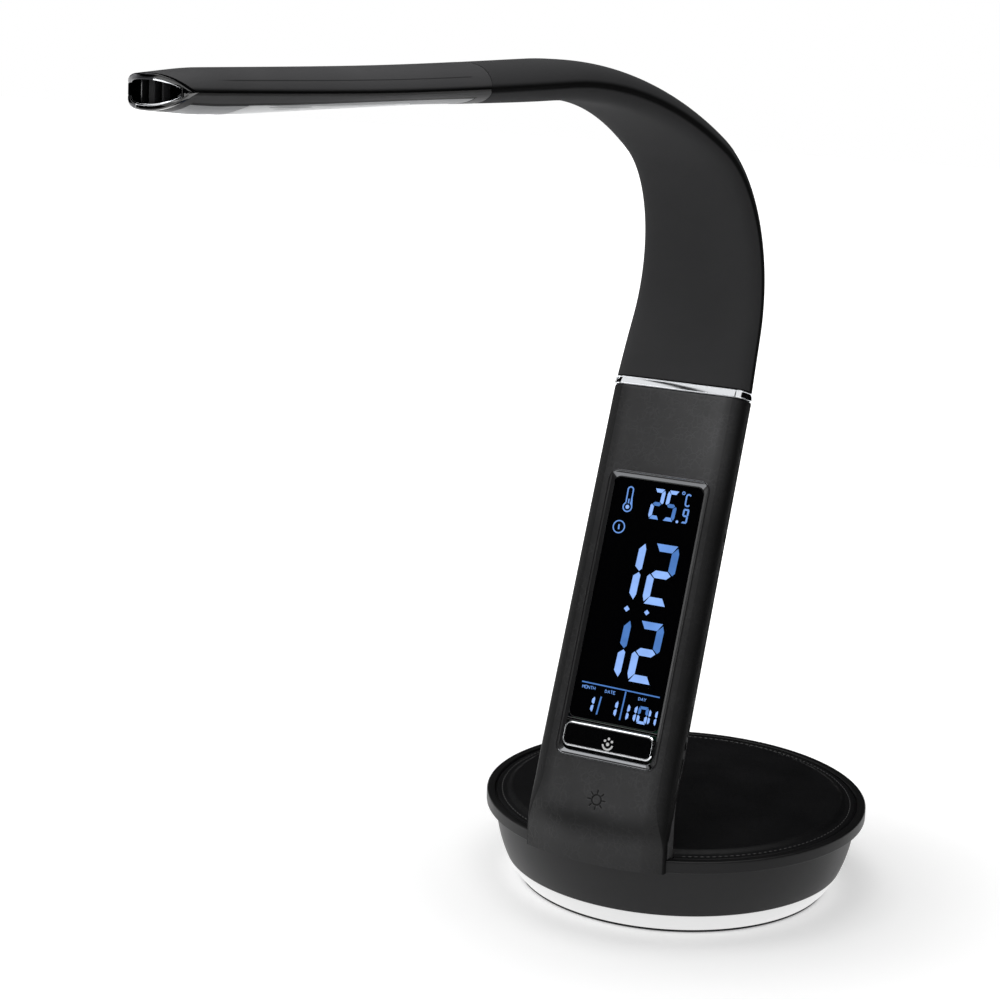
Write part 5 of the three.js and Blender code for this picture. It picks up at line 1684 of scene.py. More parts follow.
@dataclass
class Display:
    """Clock display: its frame, dark window and lit marks, and the snooze bar below."""

    plane: StandPlane = StandPlane()
    frame_half: float = 25.65
    frame_low: float = 41.5
    frame_high: float = 175.6
    frame_corner: float = 4.8
    frame_deep: float = 2.4
    frame_painted_shade: tuple[int, int] = (4, 12)
    border: float = 2.75
    window_half: float = 22.75
    window_low: float = 59.2
    window_high: float = 172.7
    window_corner: float = 3.4
    window_depth: float = 0.8
    window_deep: float = 2.0
    rail_half: float = 22.7
    rail_low: float = 57.65
    rail_high: float = 58.85
    rail_front: float = 0.75
    mark_rise: float = 0.05
    mark_sink: float = 0.1
    letter_tall: float = 1.35
    letter_pitch: float = 1.38
    letter_stroke: float = 0.24
    bar_low: float = 45.7
    bar_high: float = 57.3
    bar_top: float = -0.8
    bar_deep: float = 2.2
    bar_edge: float = 0.85
    bar_mark: float = 0.15
    thin_merge: float = 0.0005

    def ring(
        self, half: float, low: float, high: float, corner: float, profile: Sequence[Point2],
        follow: float = 1.0,
    ) -> np.ndarray:
        """Rings that sweep a profile of inset and depth pairs round a rounded rectangle.

        Args:
            half: Half of its width.
            low: Its lower edge.
            high: Its upper edge.
            corner: Corner radius of its outline.
            profile: Insets and depths.
            follow: How much of an inset its corner radius loses.

        Returns:
            One ring of points for each pair.
        """
        rows = []
        for inset, depth in profile:
            outline = rounded_outline(half - inset, low + inset, high - inset, corner - inset * follow)
            rows.append(self.plane.place(outline[:, 0], depth, outline[:, 1]))
        return np.stack(rows)

    def surround(self) -> None:
        """The frame with a thin proud lip and an inward bevel, and the rail below the window."""
        profile = soften([
            (0.0, self.frame_deep), (0.0, -0.3), (0.45, -0.3), (0.62, -0.05), (self.border, 0.95),
            (self.border, self.frame_deep),
        ], {1: 0.14, 2: 0.12, 3: 0.1, 4: 0.04}, 4)
        skin = Skin()
        rings = self.ring(self.frame_half, self.frame_low, self.frame_high, self.frame_corner, profile, 0.5)
        skin.sweep(rings, closed_rows=True)
        # The upright sides, from corner to corner, take the darker finish as painted shade
        around = np.arange(rings.shape[1]) % (rings.shape[1] // 2)
        first, last = self.frame_painted_shade
        dark = (around >= first) & (around <= last)
        skin.shades = np.tile(dark.astype(int), len(rings)).tolist()
        dress(skin.build("display_surround", [FRAME_GREY, FRAME_PAINTED_SHADE]), "frame_grey", "base", "display_frame")
        rail = soften([
            (self.rail_low, self.rail_front), (self.rail_low, self.frame_deep),
            (self.rail_high, self.frame_deep), (self.rail_high, self.rail_front),
        ], {0: 0.2, 3: 0.2}, 3)
        along, depth = np.array(rail).T
        bar, ends = Skin(), (-self.rail_half, self.rail_half)
        bar.sweep(np.stack([self.plane.place(x, depth, along) for x in ends]), caps=True)
        dress(bar.build("window_rail", [GLOSS]), "gloss_black", "base")

    def window(self) -> None:
        """The dark window, softly rounded at its edge."""
        face = self.window_depth
        profile = [(0.0, self.window_deep), (0.0, face + 0.25), (0.07, face + 0.07)]
        profile += [(inset, face) for inset in (0.25, 0.4, 0.6)]
        skin = Skin()
        rings = self.ring(self.window_half, self.window_low, self.window_high, self.window_corner, profile)
        skin.sweep(rings, caps=True)
        dress(skin.build("display_pane", [SCREEN]), "gloss_black", "base", "display_window")

    def letters(self, text: str, left: float, low: float) -> list[np.ndarray]:
        """Outlines of small plain capital letters made of straight strokes.

        Args:
            text: The letters.
            left: Where the first one starts.
            low: Where they stand.

        Returns:
            One outline for each stroke.
        """
        made = []
        for i, letter in enumerate(text):
            for path in LETTERS[letter]:
                points = [(left + i * self.letter_pitch + x, low + self.letter_tall * y) for x, y in path]
                made += [stroke(ends, self.letter_stroke) for ends in zip(points, points[1:])]
        return made

    def lit_marks(self) -> None:
        """Every lit mark of the display, in three strengths."""
        bulb = [(-14.85, 161.0), *arc(-13.65, 166.9, 1.35, 180.0, 0.0), (-12.3, 161.0)]
        bulb += arc(-13.7, 158.8, 2.15, 62.0, -242.0, 36)
        hook = arc(15.75, 167.5, 1.05, 25.0, 180.0, 12) + arc(15.75, 164.2, 1.05, 180.0, 335.0, 12)
        marks = [bar for figure in FIGURES for bar in figure.bars()]
        for dot in ((-4.0, 112.3, 1.45, 4), (6.2, 112.1, 1.3, 4), (12.25, 155.4, 0.65), (-13.7, 158.8, 0.95)):
            marks.append((disc(*dot), 0))
        for path, width, strength in (
            ([(-19.0, 75.9), (20.6, 75.2)], 0.6, 2),
            ([(-7.95, 70.6), (-8.7, 62.2)], 0.75, 2),
            ([(3.65, 75.0), (3.2, 61.8)], 0.7, 2),
            (bulb, 0.62, 1),
            ([(-13.6, 160.5), (-13.6, 162.6)], 0.6, 1),
            (arc(-16.0, 149.1, 2.85, 90.0, 449.9, 40), 0.55, 1),
            ([(-16.1, 150.2), (-15.9, 147.9)], 0.75, 1),
            (arc(12.95, 168.9, 0.62, 0.0, 359.9), 0.42, 1),
            (hook, 0.72, 1),
        ):
            marks.append((stroke(path, width), strength))
        for text, left, low in (("MONTH", -18.3, 73.1), ("DATE", -6.6, 72.7), ("DAY", 10.5, 72.2)):
            marks += [(outline, 1) for outline in self.letters(text, left, low)]
        skin = Skin()
        near, far = self.window_depth - self.mark_rise, self.window_depth + self.mark_sink
        for outline, strength in marks:
            skin.prism(outline, self.plane.place, near, far, strength)
        piece = skin.build("display_marks", [LIT, HALF_LIT, DIM_LIT], merge=self.thin_merge)
        dress(piece, "display_blue", "base")

    def snooze(self) -> None:
        """The snooze bar: a gloss face in a bright bevelled edge, with its mark."""
        top, deep, inner = self.bar_top, self.bar_deep, self.bar_edge
        sizes = (self.window_half, self.bar_low, self.bar_high, self.window_corner)
        profile = [(inner - 0.02, deep), (inner - 0.02, top + 0.3), (inner + 0.08, top + 0.14)]
        profile += [(inner + inset, top + 0.06) for inset in (0.3, 0.5, 0.7)]
        face, edge, mark = Skin(), Skin(), Skin()
        face.sweep(self.ring(*sizes, profile), caps=True)
        dress(face.build("snooze_face", [GLOSS]), "gloss_black", "snooze", "snooze_bar")
        profile = [(0.0, deep), (0.0, top + 0.55), (0.55, top), (inner, top), (inner, deep)]
        edge.sweep(self.ring(*sizes, soften(profile, {1: 0.15, 2: 0.2, 3: 0.1}, 4)), closed_rows=True)
        dress(edge.build("snooze_edge", [CHROME]), "chrome", "snooze")
        dots = ((-1.15, 51.3, 0.62), (0.6, 52.4, 0.62), (2.35, 51.3, 0.62), (0.45, 49.9, 0.8))
        for outline in [disc(*dot) for dot in dots] + [stroke(arc(0.45, 49.9, 2.45, -172.0, -8.0), 0.85)]:
            mark.prism(outline, self.plane.place, top, top + self.bar_mark)
        dress(mark.build("snooze_mark", [PRINT], merge=self.thin_merge), "white_diffuser", "snooze")

    def build(self) -> None:
        """Makes every piece of the display."""
        self.surround()
        self.window()
        self.lit_marks()
        self.snooze()


# Neck


@dataclass
class Neck:
    """Soft sleeve in six stretches along the arm's bends, and the chrome ring that it rises from."""

    line: ArmLine = ArmLine()
    wall: float = 2.2
    start: float = 2.6
    bends: tuple[float, ...] = (30.0, 80.0, 130.0, 180.0, 230.0, 280.0)
    reach: float = 24.6
    pitch: float = 2.6
    end_row: float = 0.25
    seam_gap: float = 0.4
    edge_height: float = 2.2
    dark_above: float = 0.3
    dark_below: float = 1.0
    ring_along: float = 217.6
    ring_depth: float = 6.25
    ring_half: float = 34.45
    ring_reach: float = 6.75
    ring_corner: float = 6.25
    ring_profile: tuple[Point2, ...] = (
        (0.0, -1.8), (0.0, -1.42), (0.14, -1.3), (0.26, 0.0), (0.42, 1.3), (0.0, 1.42), (0.0, 1.8),
        (3.1, 1.8), (3.1, -1.8),
    )

    def ring(self) -> None:
        """The chrome ring: a shallow channel between two thin lips."""
        rows = []
        radii = {0: 0.14, 1: 0.1, 2: 0.06, 4: 0.06, 5: 0.1, 6: 0.14}
        for inset, rise in soften(self.ring_profile, radii, 4):
            reach = self.ring_reach - inset
            outline = rounded_outline(self.ring_half - inset, -reach, reach, self.ring_corner - inset, 14)
            depth = self.ring_depth + outline[:, 1]
            rows.append(self.line.plane.place(outline[:, 0], depth, self.ring_along + rise))
        skin = Skin()
        skin.sweep(np.stack(rows), closed_rows=True)
        dress(skin.build("bright_ring", [CHROME]), "chrome", "base", "chrome_ring")

    def stations(self, first: float, last: float) -> np.ndarray:
        """Where the rows of a stretch lie, with a close one at each end so that its shading runs on.

        Args:
            first: Where it starts along the arm.
            last: Where it ends.

        Returns:
            Shares of its length.
        """
        count = max(2, round((last - first) / self.pitch))
        small = self.end_row / (last - first)
        return np.concatenate([[0.0, small], np.linspace(0.0, 1.0, count + 1)[1:-1], [1.0 - small, 1.0]])

    def shade(self, along: np.ndarray, shares: np.ndarray) -> np.ndarray:
        """The painted shade along both edges at one row, all the way round."""
        sides = ((1, self.dark_above), (-1, self.dark_below))
        return round_rows(*(self.line.edge_shade(along, shares, *side, self.edge_height) for side in sides))

    def stretch(self, first: float, last: float, tip: bool, name: str) -> bpy.types.Object:
        """One stretch of the sleeve.

        Args:
            first: Where it starts along the arm.
            last: Where it ends.
            tip: Whether its end follows the head's seam.
            name: The piece's name.

        Returns:
            The piece.
        """
        shares = across_shares(72)
        end = self.line.seam_at(shares) - self.seam_gap if tip else np.full_like(shares, last)
        rings, lining, shades = [], [], []
        for station in self.stations(first, last):
            along = first + (end - first) * station
            rings.append(self.line.ring(along, 0.0, shares))
            lining.append(self.line.ring(along, self.wall, shares))
            shades.append(self.shade(along, shares))
        skin = Skin()
        # The marks paint shade along the sleeve's edges
        marks = np.stack(shades + shades[::-1])
        skin.sweep(np.stack(rings + lining[::-1]), closed_rows=True, marks=marks)
        return skin.build(name, [SLEEVE], sharp=SOFT_TURN)

    def sleeve(self) -> None:
        """The six stretches, each round one of the arm's bends; none is set on a body."""
        cuts = [self.start, *((a + b) / 2.0 for a, b in zip(self.bends, self.bends[1:]))]
        cuts.append(self.line.seam - self.seam_gap)
        nodes = [["sleeve_root"], *([f"sleeve_{i}"] for i in range(1, 5)), ["sleeve_5", "sleeve_tip"]]
        for i, bend in enumerate(self.bends):
            piece = self.stretch(cuts[i], cuts[i + 1], i == len(self.bends) - 1, f"neck_sleeve_{i + 1}")
            low, high = (self.line.place(bend + side * self.reach, 0.0, 0.0) * MM for side in (-1.0, 1.0))
            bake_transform(piece)
            dress(piece, "soft_sleeve", None, *nodes[i])

    def build(self) -> None:
        """Makes every piece of the neck."""
        self.ring()
        self.sleeve()


# Head


@dataclass
class Head:
    """Slim light head: two housing shells, the pale panel with its lens below, and the open nose."""

    line: ArmLine = ArmLine()
    wall: float = 1.4
    lift: float = GAP / 8.0
    seam_gap: float = 0.4
    trim: float = 1.8
    trim_gap: float = 0.12
    groove_share: float = 0.825
    groove_spread: float = 0.03
    groove_depth: float = 0.14
    groove_half: float = 0.16
    groove_shade: float = 0.6
    groove_from: float = 346.0
    groove_to: float = 500.0
    groove_fade: float = 12.0
    panel_share: float = 0.8
    panel_from: float = 342.4
    panel_back: float = 7.0
    panel_gap: float = 0.3
    panel_wall: float = 1.2
    panel_inset: float = 0.06
    opening_spread: float = 0.04
    opening_rows: int = 80
    gap_shadow_line: Point3 = (0.022, 0.018, 0.03)
    lens_half: float = 10.2
    lens_from: float = 376.0
    lens_to: float = 488.0
    lens_proud: float = 0.16
    lens_rim: float = 0.6
    lens_crown: float = 0.03
    edge_height: float = 1.7
    dark_above: float = 0.5
    dark_below: float = 0.6
    clear_below: float = 1.1
    cusp_proud: float = 1.5
    lip: float = 1.35
    glint_above: float = 0.3
    glint_below: float = -0.35
    cup_near: float = -0.3
    cup_deep: float = 7.5
    cup_wall: float = 1.2
    cup_from: float = 0.8
    cup_to: float = 0.93
    cup_cover: float = 0.35
    cup_inset: float = 0.75
    ribs: tuple[Point3, ...] = ((-0.1, 0.13, 3.6), (0.4, 0.46, 3.0), (-0.46, -0.4, 3.0))
    rib_depth: float = 3.0
    rib_join: float = 0.15

    def mark_groove(self, along: np.ndarray, across: np.ndarray, line_at: np.ndarray) -> np.ndarray:
        """How far a place on the cover lies in its fine groove, which ends in a small dimple and is painted
        with shade.

        Args:
            along: Distances along the arm.
            across: Distances from the middle.
            line_at: Where the groove's middle lies across.

        Returns:
            Shares from 0 to the groove's painted shade.
        """
        line = 1.0 - smoothstep(np.abs(across - line_at), self.groove_half * 0.4, self.groove_half * 1.5)
        ends = smoothstep(along, self.groove_from, self.groove_from + 0.8)
        ends = ends * (1.0 - smoothstep(along, self.groove_to - self.groove_fade, self.groove_to))
        dimple = np.hypot(across - line_at, along - self.groove_from)
        return self.groove_shade * np.maximum(line * ends, 1.0 - smoothstep(dimple, 0.3, 0.75))

    def shell_ends(self, shares: np.ndarray) -> tuple[np.ndarray, np.ndarray]:
        """Where both shells start and end, across the width."""
        end = self.line.nose_at(shares) - self.trim - self.trim_gap
        return self.line.seam_at(shares) + self.seam_gap, end

    def shell(
        self, along: np.ndarray, shares: np.ndarray, side: int, marks: np.ndarray,
        relief: Amount = 0.0, keep: Optional[np.ndarray] = None,
    ) -> Skin:
        """The wall of one shell.

        Args:
            along: Distances along the arm, in rows.
            shares: Places across.
            side: 1 for the upper shell, -1 for the lower shell.
            marks: How dark its surface is.
            relief: How far each place is sunk.
            keep: Which cells are there.

        Returns:
            The skin.
        """
        lift = np.array([0.0, 0.0, side * self.lift])
        outer = self.line.row(along, shares, 0.0, side, relief) + lift
        skin = Skin()
        skin.wall(outer, self.line.row(along, shares, self.wall, side) + lift, keep, marks)
        return skin

    def cover(self) -> None:
        """The upper shell, with a fine groove along its near edge; groove and edges are painted with shade.
        """
        near = np.linspace(self.groove_share - self.groove_spread, self.groove_share + self.groove_spread, 25)
        shares = np.unique(np.concatenate([across_shares(56), near]))
        start, end = self.shell_ends(shares)
        along = start + (end - start) * np.linspace(0.0, 1.0, 120)[:, None]
        half = self.line.half(along)
        groove = self.mark_groove(along, half * shares, half * self.groove_share)
        edge = self.line.edge_shade(along, shares, 1, self.dark_above, self.edge_height)
        skin = self.shell(along, shares, 1, np.maximum(groove, edge), groove * self.groove_depth)
        dress(skin.build("head_cover", [HOUSING], sharp=SOFT_TURN), "satin_black", "head", "head_top")

    def tray(self) -> None:
        """The lower shell, open where the panel sits, in the housing's finish made darker as painted shade.
        """
        edge = self.panel_share
        close = np.linspace(edge - self.opening_spread, edge + self.opening_spread, 13)
        shares = np.unique(np.round(np.concatenate([across_shares(48), [-edge, edge], close, -close]), 5))
        t = np.linspace(0.0, 1.0, 13)[:, None]
        start, last = self.shell_ends(shares)
        first = np.minimum(start + (self.panel_from - start) * t, self.panel_from)
        end = self.panel_end(shares)
        open_rows = np.linspace(0.0, 1.0, self.opening_rows + 1)[1:-1, None]
        middle = self.panel_from + (end - self.panel_from) * open_rows
        along = np.concatenate([first, middle, end + (last - end) * t])
        keep = np.ones((len(along) - 1, len(shares) - 1), bool)
        low, high = int(np.argmin(np.abs(shares + edge))), int(np.argmin(np.abs(shares - edge)))
        keep[len(t) - 1:len(t) - 1 + self.opening_rows, low:high] = False
        # A painted shadow lies along the gap round the panel
        middle_at, full, gone = self.gap_shadow_line
        line = 1.0 - smoothstep(np.abs(np.abs(shares) - edge - middle_at), full, gone)
        line = line * smoothstep(along, self.panel_from - 1.0, self.panel_from)
        line = line * (1.0 - smoothstep(along, end, end + 1.0))
        shade = self.line.edge_shade(along, shares, -1, self.dark_below, self.clear_below)
        skin = self.shell(along, shares, -1, np.maximum(shade, line), keep=keep)
        dress(skin.build("head_tray", [HOUSING_PAINTED_SHADE], sharp=SOFT_TURN), "satin_black", "head", "head_bottom")

    def panel_end(self, shares: np.ndarray) -> np.ndarray:
        """Where the panel ends, following the nose's curve."""
        return self.line.nose_at(shares) - self.panel_back

    def panel(self) -> None:
        """The pale panel that follows the tray's curve, with a raised white lens."""
        edge = self.panel_share - self.panel_gap / float(self.line.half(np.array(self.panel_from)))
        cut = np.linspace(0.0, 1.0, 25)
        shares = np.unique(np.round(np.concatenate([-edge * cut, edge * cut]), 5))
        first, last = self.panel_from + self.panel_gap, self.panel_end(shares) - self.panel_gap
        along = first + (last - first) * np.linspace(0.0, 1.0, 120)[:, None]
        insets = (self.panel_inset, self.panel_inset + self.panel_wall)
        skin = Skin()
        skin.wall(*(self.line.row(along, shares, inset, -1) for inset in insets))
        dress(skin.build("light_plate", [PANEL], sharp=SOFT_TURN), "panel_silver", "head", "light_panel")
        self.lens()

    def lens_ring(self, half: float, sunk: float) -> np.ndarray:
        """Points round the lens strip.

        Args:
            half: Half of its width there.
            sunk: How far they lie above the panel's face.

        Returns:
            The points, mirrored about the strip's middle.
        """
        turns = round_turns(96)
        low, high = self.lens_from + self.lens_half, self.lens_to - self.lens_half
        along = np.where(np.cos(turns) >= 0.0, high, low) + half * np.cos(turns)
        straight = np.abs(np.sin(turns)) > 0.999999
        along = np.where(straight, (low + high) / 2.0, along)
        shares = half * np.sin(turns) / self.line.half(along)
        return self.line.row(along, shares, self.panel_inset, -1) + np.array([0.0, 0.0, sunk])

    def lens(self) -> None:
        """The white lens strip, with round ends, a little proud of the panel."""
        crown = -self.lens_proud - self.lens_crown
        inner = self.lens_half - self.lens_rim
        steps = [(self.lens_half, 0.7), (self.lens_half, 0.0), (self.lens_half - 0.18, -self.lens_proud)]
        steps += [(max(inner * share, 0.001), crown) for share in np.linspace(1.0, 0.0, 9)]
        skin = Skin()
        numbers = skin.take(np.stack([self.lens_ring(half, sunk) for half, sunk in steps]))
        skin.quads(closed_rings(numbers))
        for ring in (numbers[-1], numbers[0]):
            middle = len(ring) // 2 + 1
            skin.bridge(ring[:middle], np.roll(ring[::-1], 1)[:middle])
        dress(skin.build("lens_strip", [LENS], merge=0.003), "white_diffuser", "head")

    def blunt(self, shares: np.ndarray) -> np.ndarray:
        """How far the nose stands forward at its side ends."""
        return self.cusp_proud * (1.0 - arch(shares))

    def nose_ring(self) -> None:
        """The gloss frame of the open nose with its rounded lip, and the edge inside it, with painted
        highlights.
        """
        shares = across_shares(56)
        lip, deep = self.lip, self.trim + 4.0
        frame_profile = soften([
            (self.trim, 0.0), (0.25, 0.0), (0.0, 0.35), (0.0, lip), (deep, lip + 0.5), (deep, lip - 0.1),
            (self.trim, lip - 0.1),
        ], {0: 0.12, 1: 0.1, 2: 0.2, 3: 0.15}, 4)
        edge_profile = soften([
            (0.5, lip - 0.02), (-0.08, lip + 0.02), (0.1, lip + 0.6), (2.6, lip + 0.64), (2.6, lip - 0.02),
        ], {1: 0.12, 2: 0.12}, 4)
        # Highlights are painted: where the glint mask holds, the frame is gloss black and the edge chrome;
        # elsewhere both are black nickel
        painted_glint = round_rows(shares > self.glint_above, shares > self.glint_below)
        for name, profile, finish, nodes in (
            ("nose_frame", frame_profile, GLOSS, ["nose_trim"]), ("nose_edge", edge_profile, CHROME, []),
        ):
            rows = []
            for back, inset in profile:
                blunt = min(max(0.0, 1.0 - back / self.trim), 1.0) * self.blunt(shares)
                along = self.line.nose_at(shares) - back + blunt
                rows.append(self.line.ring(along, inset, shares))
            skin = Skin()
            skin.sweep(np.stack(rows), closed_rows=True)
            skin.shades = np.tile((~painted_glint).astype(int), len(rows)).tolist()
            piece = skin.build(name, [finish, BLACK_NICKEL], sharp=60.0)
            dress(piece, "chrome", "head", *nodes)

    def nose_insert(self) -> None:
        """The dark cup that closes the nose, deep in its middle and near the lip at its sides."""
        shares = across_shares(56)
        near = smoothstep(np.abs(shares), self.cup_from, self.cup_to)
        back = self.cup_deep + (self.cup_near - self.cup_deep) * near
        inset = self.lip + self.cup_inset
        cover = smoothstep(np.abs(shares), self.cup_from, self.cup_to - 0.04)
        shallow = inset + (self.cup_cover - inset) * cover
        nose = self.line.nose_at(shares)
        front = self.line.ring(nose - back + self.blunt(shares), shallow, shares)
        rear = self.line.ring(nose - self.cup_deep - self.cup_wall, inset, shares)
        skin = Skin()
        numbers = skin.take(np.stack([front, rear]))
        skin.quads(closed_rings(numbers))
        count = len(shares)
        for ring in numbers:
            skin.bridge(ring[:count], np.concatenate([ring[:1], ring[count:][::-1], ring[count - 1:count]]))
        dress(skin.build("nose_cup", [GLOSS], sharp=SOFT_TURN), "gloss_black", "head", "nose_plug")

    def nose_ribs(self) -> None:
        """The three ribs that stand in the nose's opening."""
        skin = Skin()
        inset = self.lip + self.cup_inset - self.rib_join
        for low, high, back in self.ribs:
            shares = np.linspace(low, high, 4)
            rows = []
            for behind in (back, back + self.rib_depth):
                along = self.line.nose_at(shares) - behind
                upper, lower = (self.line.row(along, shares, inset, side) for side in (1, -1))
                rows.append(np.concatenate([upper, lower[::-1]]))
            skin.sweep(np.stack(rows), caps=True)
        dress(skin.build("nose_ribs", [SATIN], merge=0.001), "gloss_black", "head")

    def build(self) -> None:
        """Makes every piece of the head."""
        self.cover()
        self.tray()
        self.panel()
        self.nose_ring()
        self.nose_insert()
        self.nose_ribs()


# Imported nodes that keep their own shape


@dataclass(frozen=True)
class Inside:
    """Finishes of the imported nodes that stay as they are."""

    finishes: tuple[tuple[Finish, tuple[str, ...]], ...] = (
        (SATIN, ("bottom_plate", "alarm_sounder", "neck_socket")),
        (STEEL, ("base_screw", "bracket_screw", "backup_cell", "stand_bracket", "spine", "heat_spreader")),
        (BOARD, ("light_ring_board", "power_board", "clock_board", "head_led_board")),
        (FIBRE, ("pad_board",)),
        (IRON, ("ballast_weight", "mounting_block")),
        (GLOSS, ("dc_inlet",)),
        (COPPER, ("touch_sensor",)),
        (DIFFUSER, ("display_backlight",)),
        (DIM_LIT, ("display_glass",)),
    )

    def dress(self) -> None:
        """Gives every node that still shows its finish."""
        for name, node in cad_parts.items():
            if node.hide_render:
                continue
            finish = next(f for f, starts in self.finishes if name.startswith(starts))
            node.data.materials.clear()
            node.data.materials.append(finish.material())
            log.info("%s takes %s", name, finish.name)


# Studio


@dataclass(frozen=True)
class Lamp:
    """One soft lamp: where it stands, where it points, its size and its power."""

    name: str
    place: Point3
    aim: Point3
    size: Point2
    power: float


@dataclass(frozen=True)
class Card:
    """An upright dark card: its foot's two ends, its lower and upper level, and whether it shades."""

    name: str
    start: Point2
    end: Point2
    levels: Point2
    shades: bool = False

    def corners(self) -> np.ndarray:
        """Its corners, in metres."""
        ends = ((self.start, 0), (self.end, 0), (self.end, 1), (self.start, 1))
        return np.array([(*place, self.levels[level]) for place, level in ends])


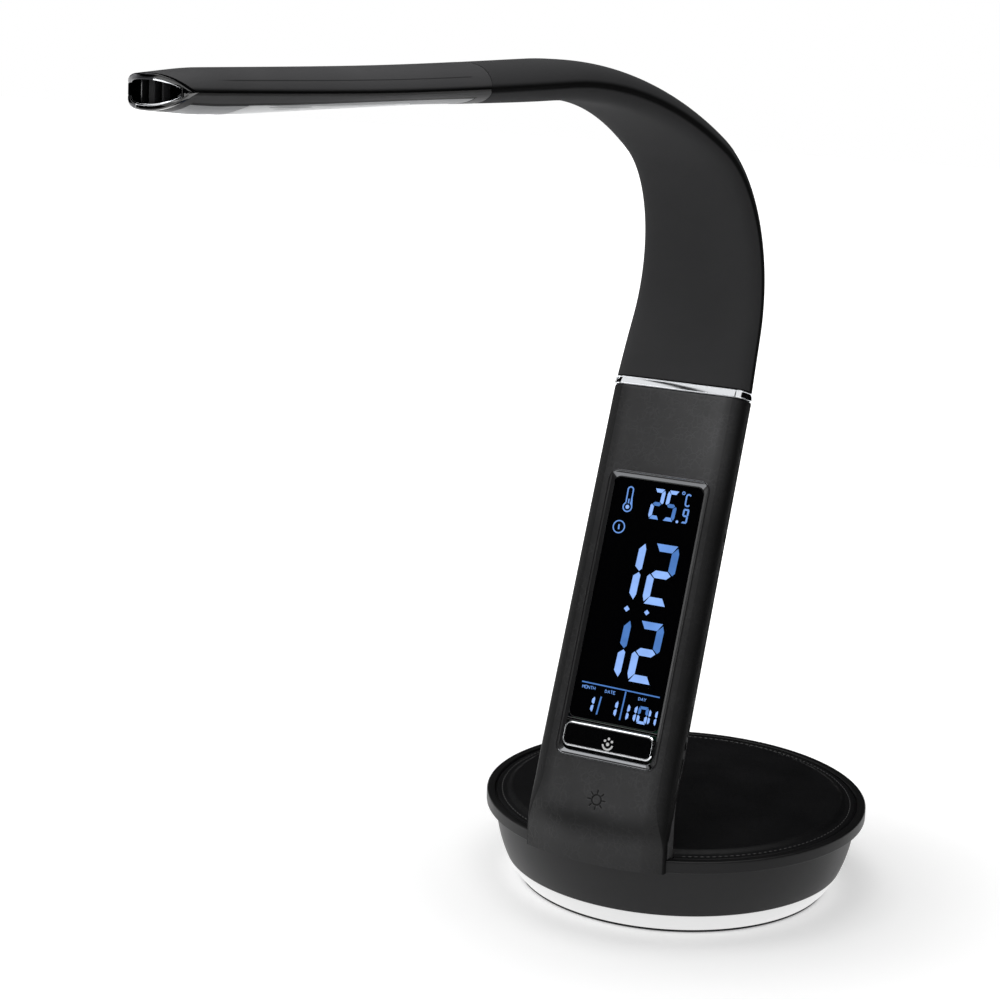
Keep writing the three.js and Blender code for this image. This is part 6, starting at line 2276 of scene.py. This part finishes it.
@dataclass(frozen=True)
class Studio:
    """Pale floor, plain soft light and the camera. Its lengths are in metres."""

    camera_place: Point3 = (0.44688, -1.0014, 0.44095)
    right: Point3 = (0.87821711, 0.47728188, 0.03060587)
    down: Point3 = (0.12934353, -0.17541323, -0.9759613)
    forward: Point3 = (-0.46043996, 0.86106458, -0.21578422)
    lens: float = 85.203
    sensor: float = 36.0
    shift: Point2 = (-0.02537, -0.0306)
    clip: Point2 = (0.05, 50.0)
    ambient: float = 0.4
    floor_half: float = 4.0
    floor_level: float = -0.0002
    floor_near: float = 0.12
    floor_far: float = 0.5
    floor_fill: float = 0.27
    lamps: tuple[Lamp, ...] = (
        Lamp("top_lamp", (-0.1, -0.2, 1.9), (0.0, 0.0, 0.0), (2.0, 1.8), 24.0),
        Lamp("left_lamp", (-1.8, -0.6, 0.45), (0.0, 0.0, 0.15), (1.0, 0.8), 7.0),
    )
    cards: tuple[Card, ...] = (
        Card("front_card", (-2.6, -2.2), (1.8, -2.2), (0.0, 1.62)),
        Card("strip_card", (-1.37, -2.19), (-1.22, -2.19), (1.6, 2.9)),
        Card("back_card", (-2.2, 1.5), (2.2, 1.5), (0.0, 2.4)),
        Card("right_card", (0.75, -0.55), (0.95, 1.2), (0.0, 1.1), True),
        Card("left_card", (-1.9, -2.2), (-1.9, 1.2), (0.5, 1.9)),
    )

    @staticmethod
    def stand(name: str, data: bpy.types.ID, columns: Sequence[Sequence[float]]) -> bpy.types.Object:
        """Stands a lamp or a camera in the scene.

        Args:
            name: Its name.
            data: What it is.
            columns: Its three axes and its place.

        Returns:
            The object.
        """
        made = bpy.data.objects.new(name, data)
        rows = [[column[i] for column in columns] for i in range(3)]
        made.matrix_world = Matrix([*rows, [0.0, 0.0, 0.0, 1.0]])
        bpy.context.scene.collection.objects.link(made)
        return made

    def camera(self) -> None:
        """The camera at the photograph's angle."""
        data = bpy.data.cameras.new("camera")
        data.lens, data.sensor_width = self.lens, self.sensor
        data.shift_x, data.shift_y = self.shift
        data.clip_start, data.clip_end = self.clip
        columns = [self.right, -np.array(self.down), -np.array(self.forward), self.camera_place]
        bpy.context.scene.camera = self.stand("camera", data, columns)

    def lights(self) -> None:
        """The soft lamps."""
        for lamp in self.lamps:
            data = bpy.data.lights.new(lamp.name, "AREA")
            data.shape, data.size, data.size_y, data.energy = "RECTANGLE", *lamp.size, lamp.power
            towards = np.array(lamp.aim) - np.array(lamp.place)
            towards /= np.linalg.norm(towards)
            upright = abs(towards[2]) > STEEP
            side = np.array([1.0, 0.0, 0.0]) if upright else np.cross(towards, (0.0, 0.0, 1.0))
            side /= np.linalg.norm(side)
            self.stand(lamp.name, data, [side, np.cross(side, towards), -towards, lamp.place])

    @staticmethod
    def white_for_sight(graph: Graph) -> bpy.types.NodeSocket:
        """How far a surface is seen, instead of giving light.

        Args:
            graph: The graph.

        Returns:
            One where a ray comes from the camera, a reflection or glass.
        """
        path = graph.add("ShaderNodeLightPath")
        seen = graph.reckon("MAXIMUM", path.outputs["Is Camera Ray"], path.outputs["Is Glossy Ray"])
        return graph.reckon("MAXIMUM", seen, path.outputs["Is Transmission Ray"])

    def world(self) -> None:
        """A world that lights softly and is white where it is seen."""
        world = bpy.data.worlds.new("studio")
        bpy.context.scene.world = world
        world.use_nodes = True
        graph = Graph(world.node_tree)
        strength = graph.spread(self.white_for_sight(graph), 0.0, 1.0, self.ambient, 1.0)
        shade = world.node_tree.nodes["Background"]
        shade.inputs["Color"].default_value = WHITE
        world.node_tree.links.new(strength, shade.inputs["Strength"])

    @staticmethod
    def sheet(name: str, corners: np.ndarray, finish: Finish) -> bpy.types.Object:
        """One flat face of the studio.

        Args:
            name: Its name.
            corners: Its four corners, in metres.
            finish: Its finish.

        Returns:
            The face.
        """
        skin = Skin()
        skin.take(corners / MM)
        skin.faces, skin.shades = [(0, 1, 2, 3)], [0]
        return skin.build(name, [finish])

    def floor(self) -> None:
        """A pale floor that is white to the camera outside the lamp's soft shadow."""
        half, z = self.floor_half, self.floor_level
        corners = np.array([(-half, -half, z), (half, -half, z), (half, half, z), (-half, half, z)])
        floor = self.sheet("floor", corners, FLOOR_PAINT)
        tree = FLOOR_PAINT.material().node_tree
        graph = Graph(tree)
        shader = tree.nodes["Principled BSDF"]
        place = graph.add("ShaderNodeTexCoord").outputs["Object"]
        away = graph.add("ShaderNodeVectorMath", {0: place}, operation="LENGTH").outputs["Value"]
        fill = graph.spread(away, self.floor_near, self.floor_far, self.floor_fill, 1.0)
        glow = graph.reckon("MULTIPLY", self.white_for_sight(graph), fill)
        shader.inputs["Emission Color"].default_value = WHITE
        tree.links.new(glow, shader.inputs["Emission Strength"])

    def flag(self, plan: Card) -> None:
        """A dark card that reflections see, and soft light too where it shades.

        Args:
            plan: What is known of it.
        """
        card = self.sheet(plan.name, plan.corners(), CARD_BLACK)
        card.visible_camera = card.visible_shadow = False
        card.visible_diffuse = plan.shades
        card.visible_transmission = card.visible_volume_scatter = False

    def build(self) -> None:
        """Sets up the studio."""
        self.camera()
        self.lights()
        self.world()
        self.floor()
        for plan in self.cards:
            self.flag(plan)
        bpy.context.scene.view_settings.view_transform = "Standard"


def main() -> None:
    """Builds the lamp, piece by piece, and the studio round it."""
    logging.basicConfig(level=logging.INFO, format="%(name)s: %(message)s")
    for part in (Base(), Stand(), Display(), Neck(), Head()):
        log.info("building %s", type(part).__name__)
        part.build()
    Inside().dress()
    Studio().build()
    bpy.context.view_layer.update()


if __name__ == "__main__":
    main()
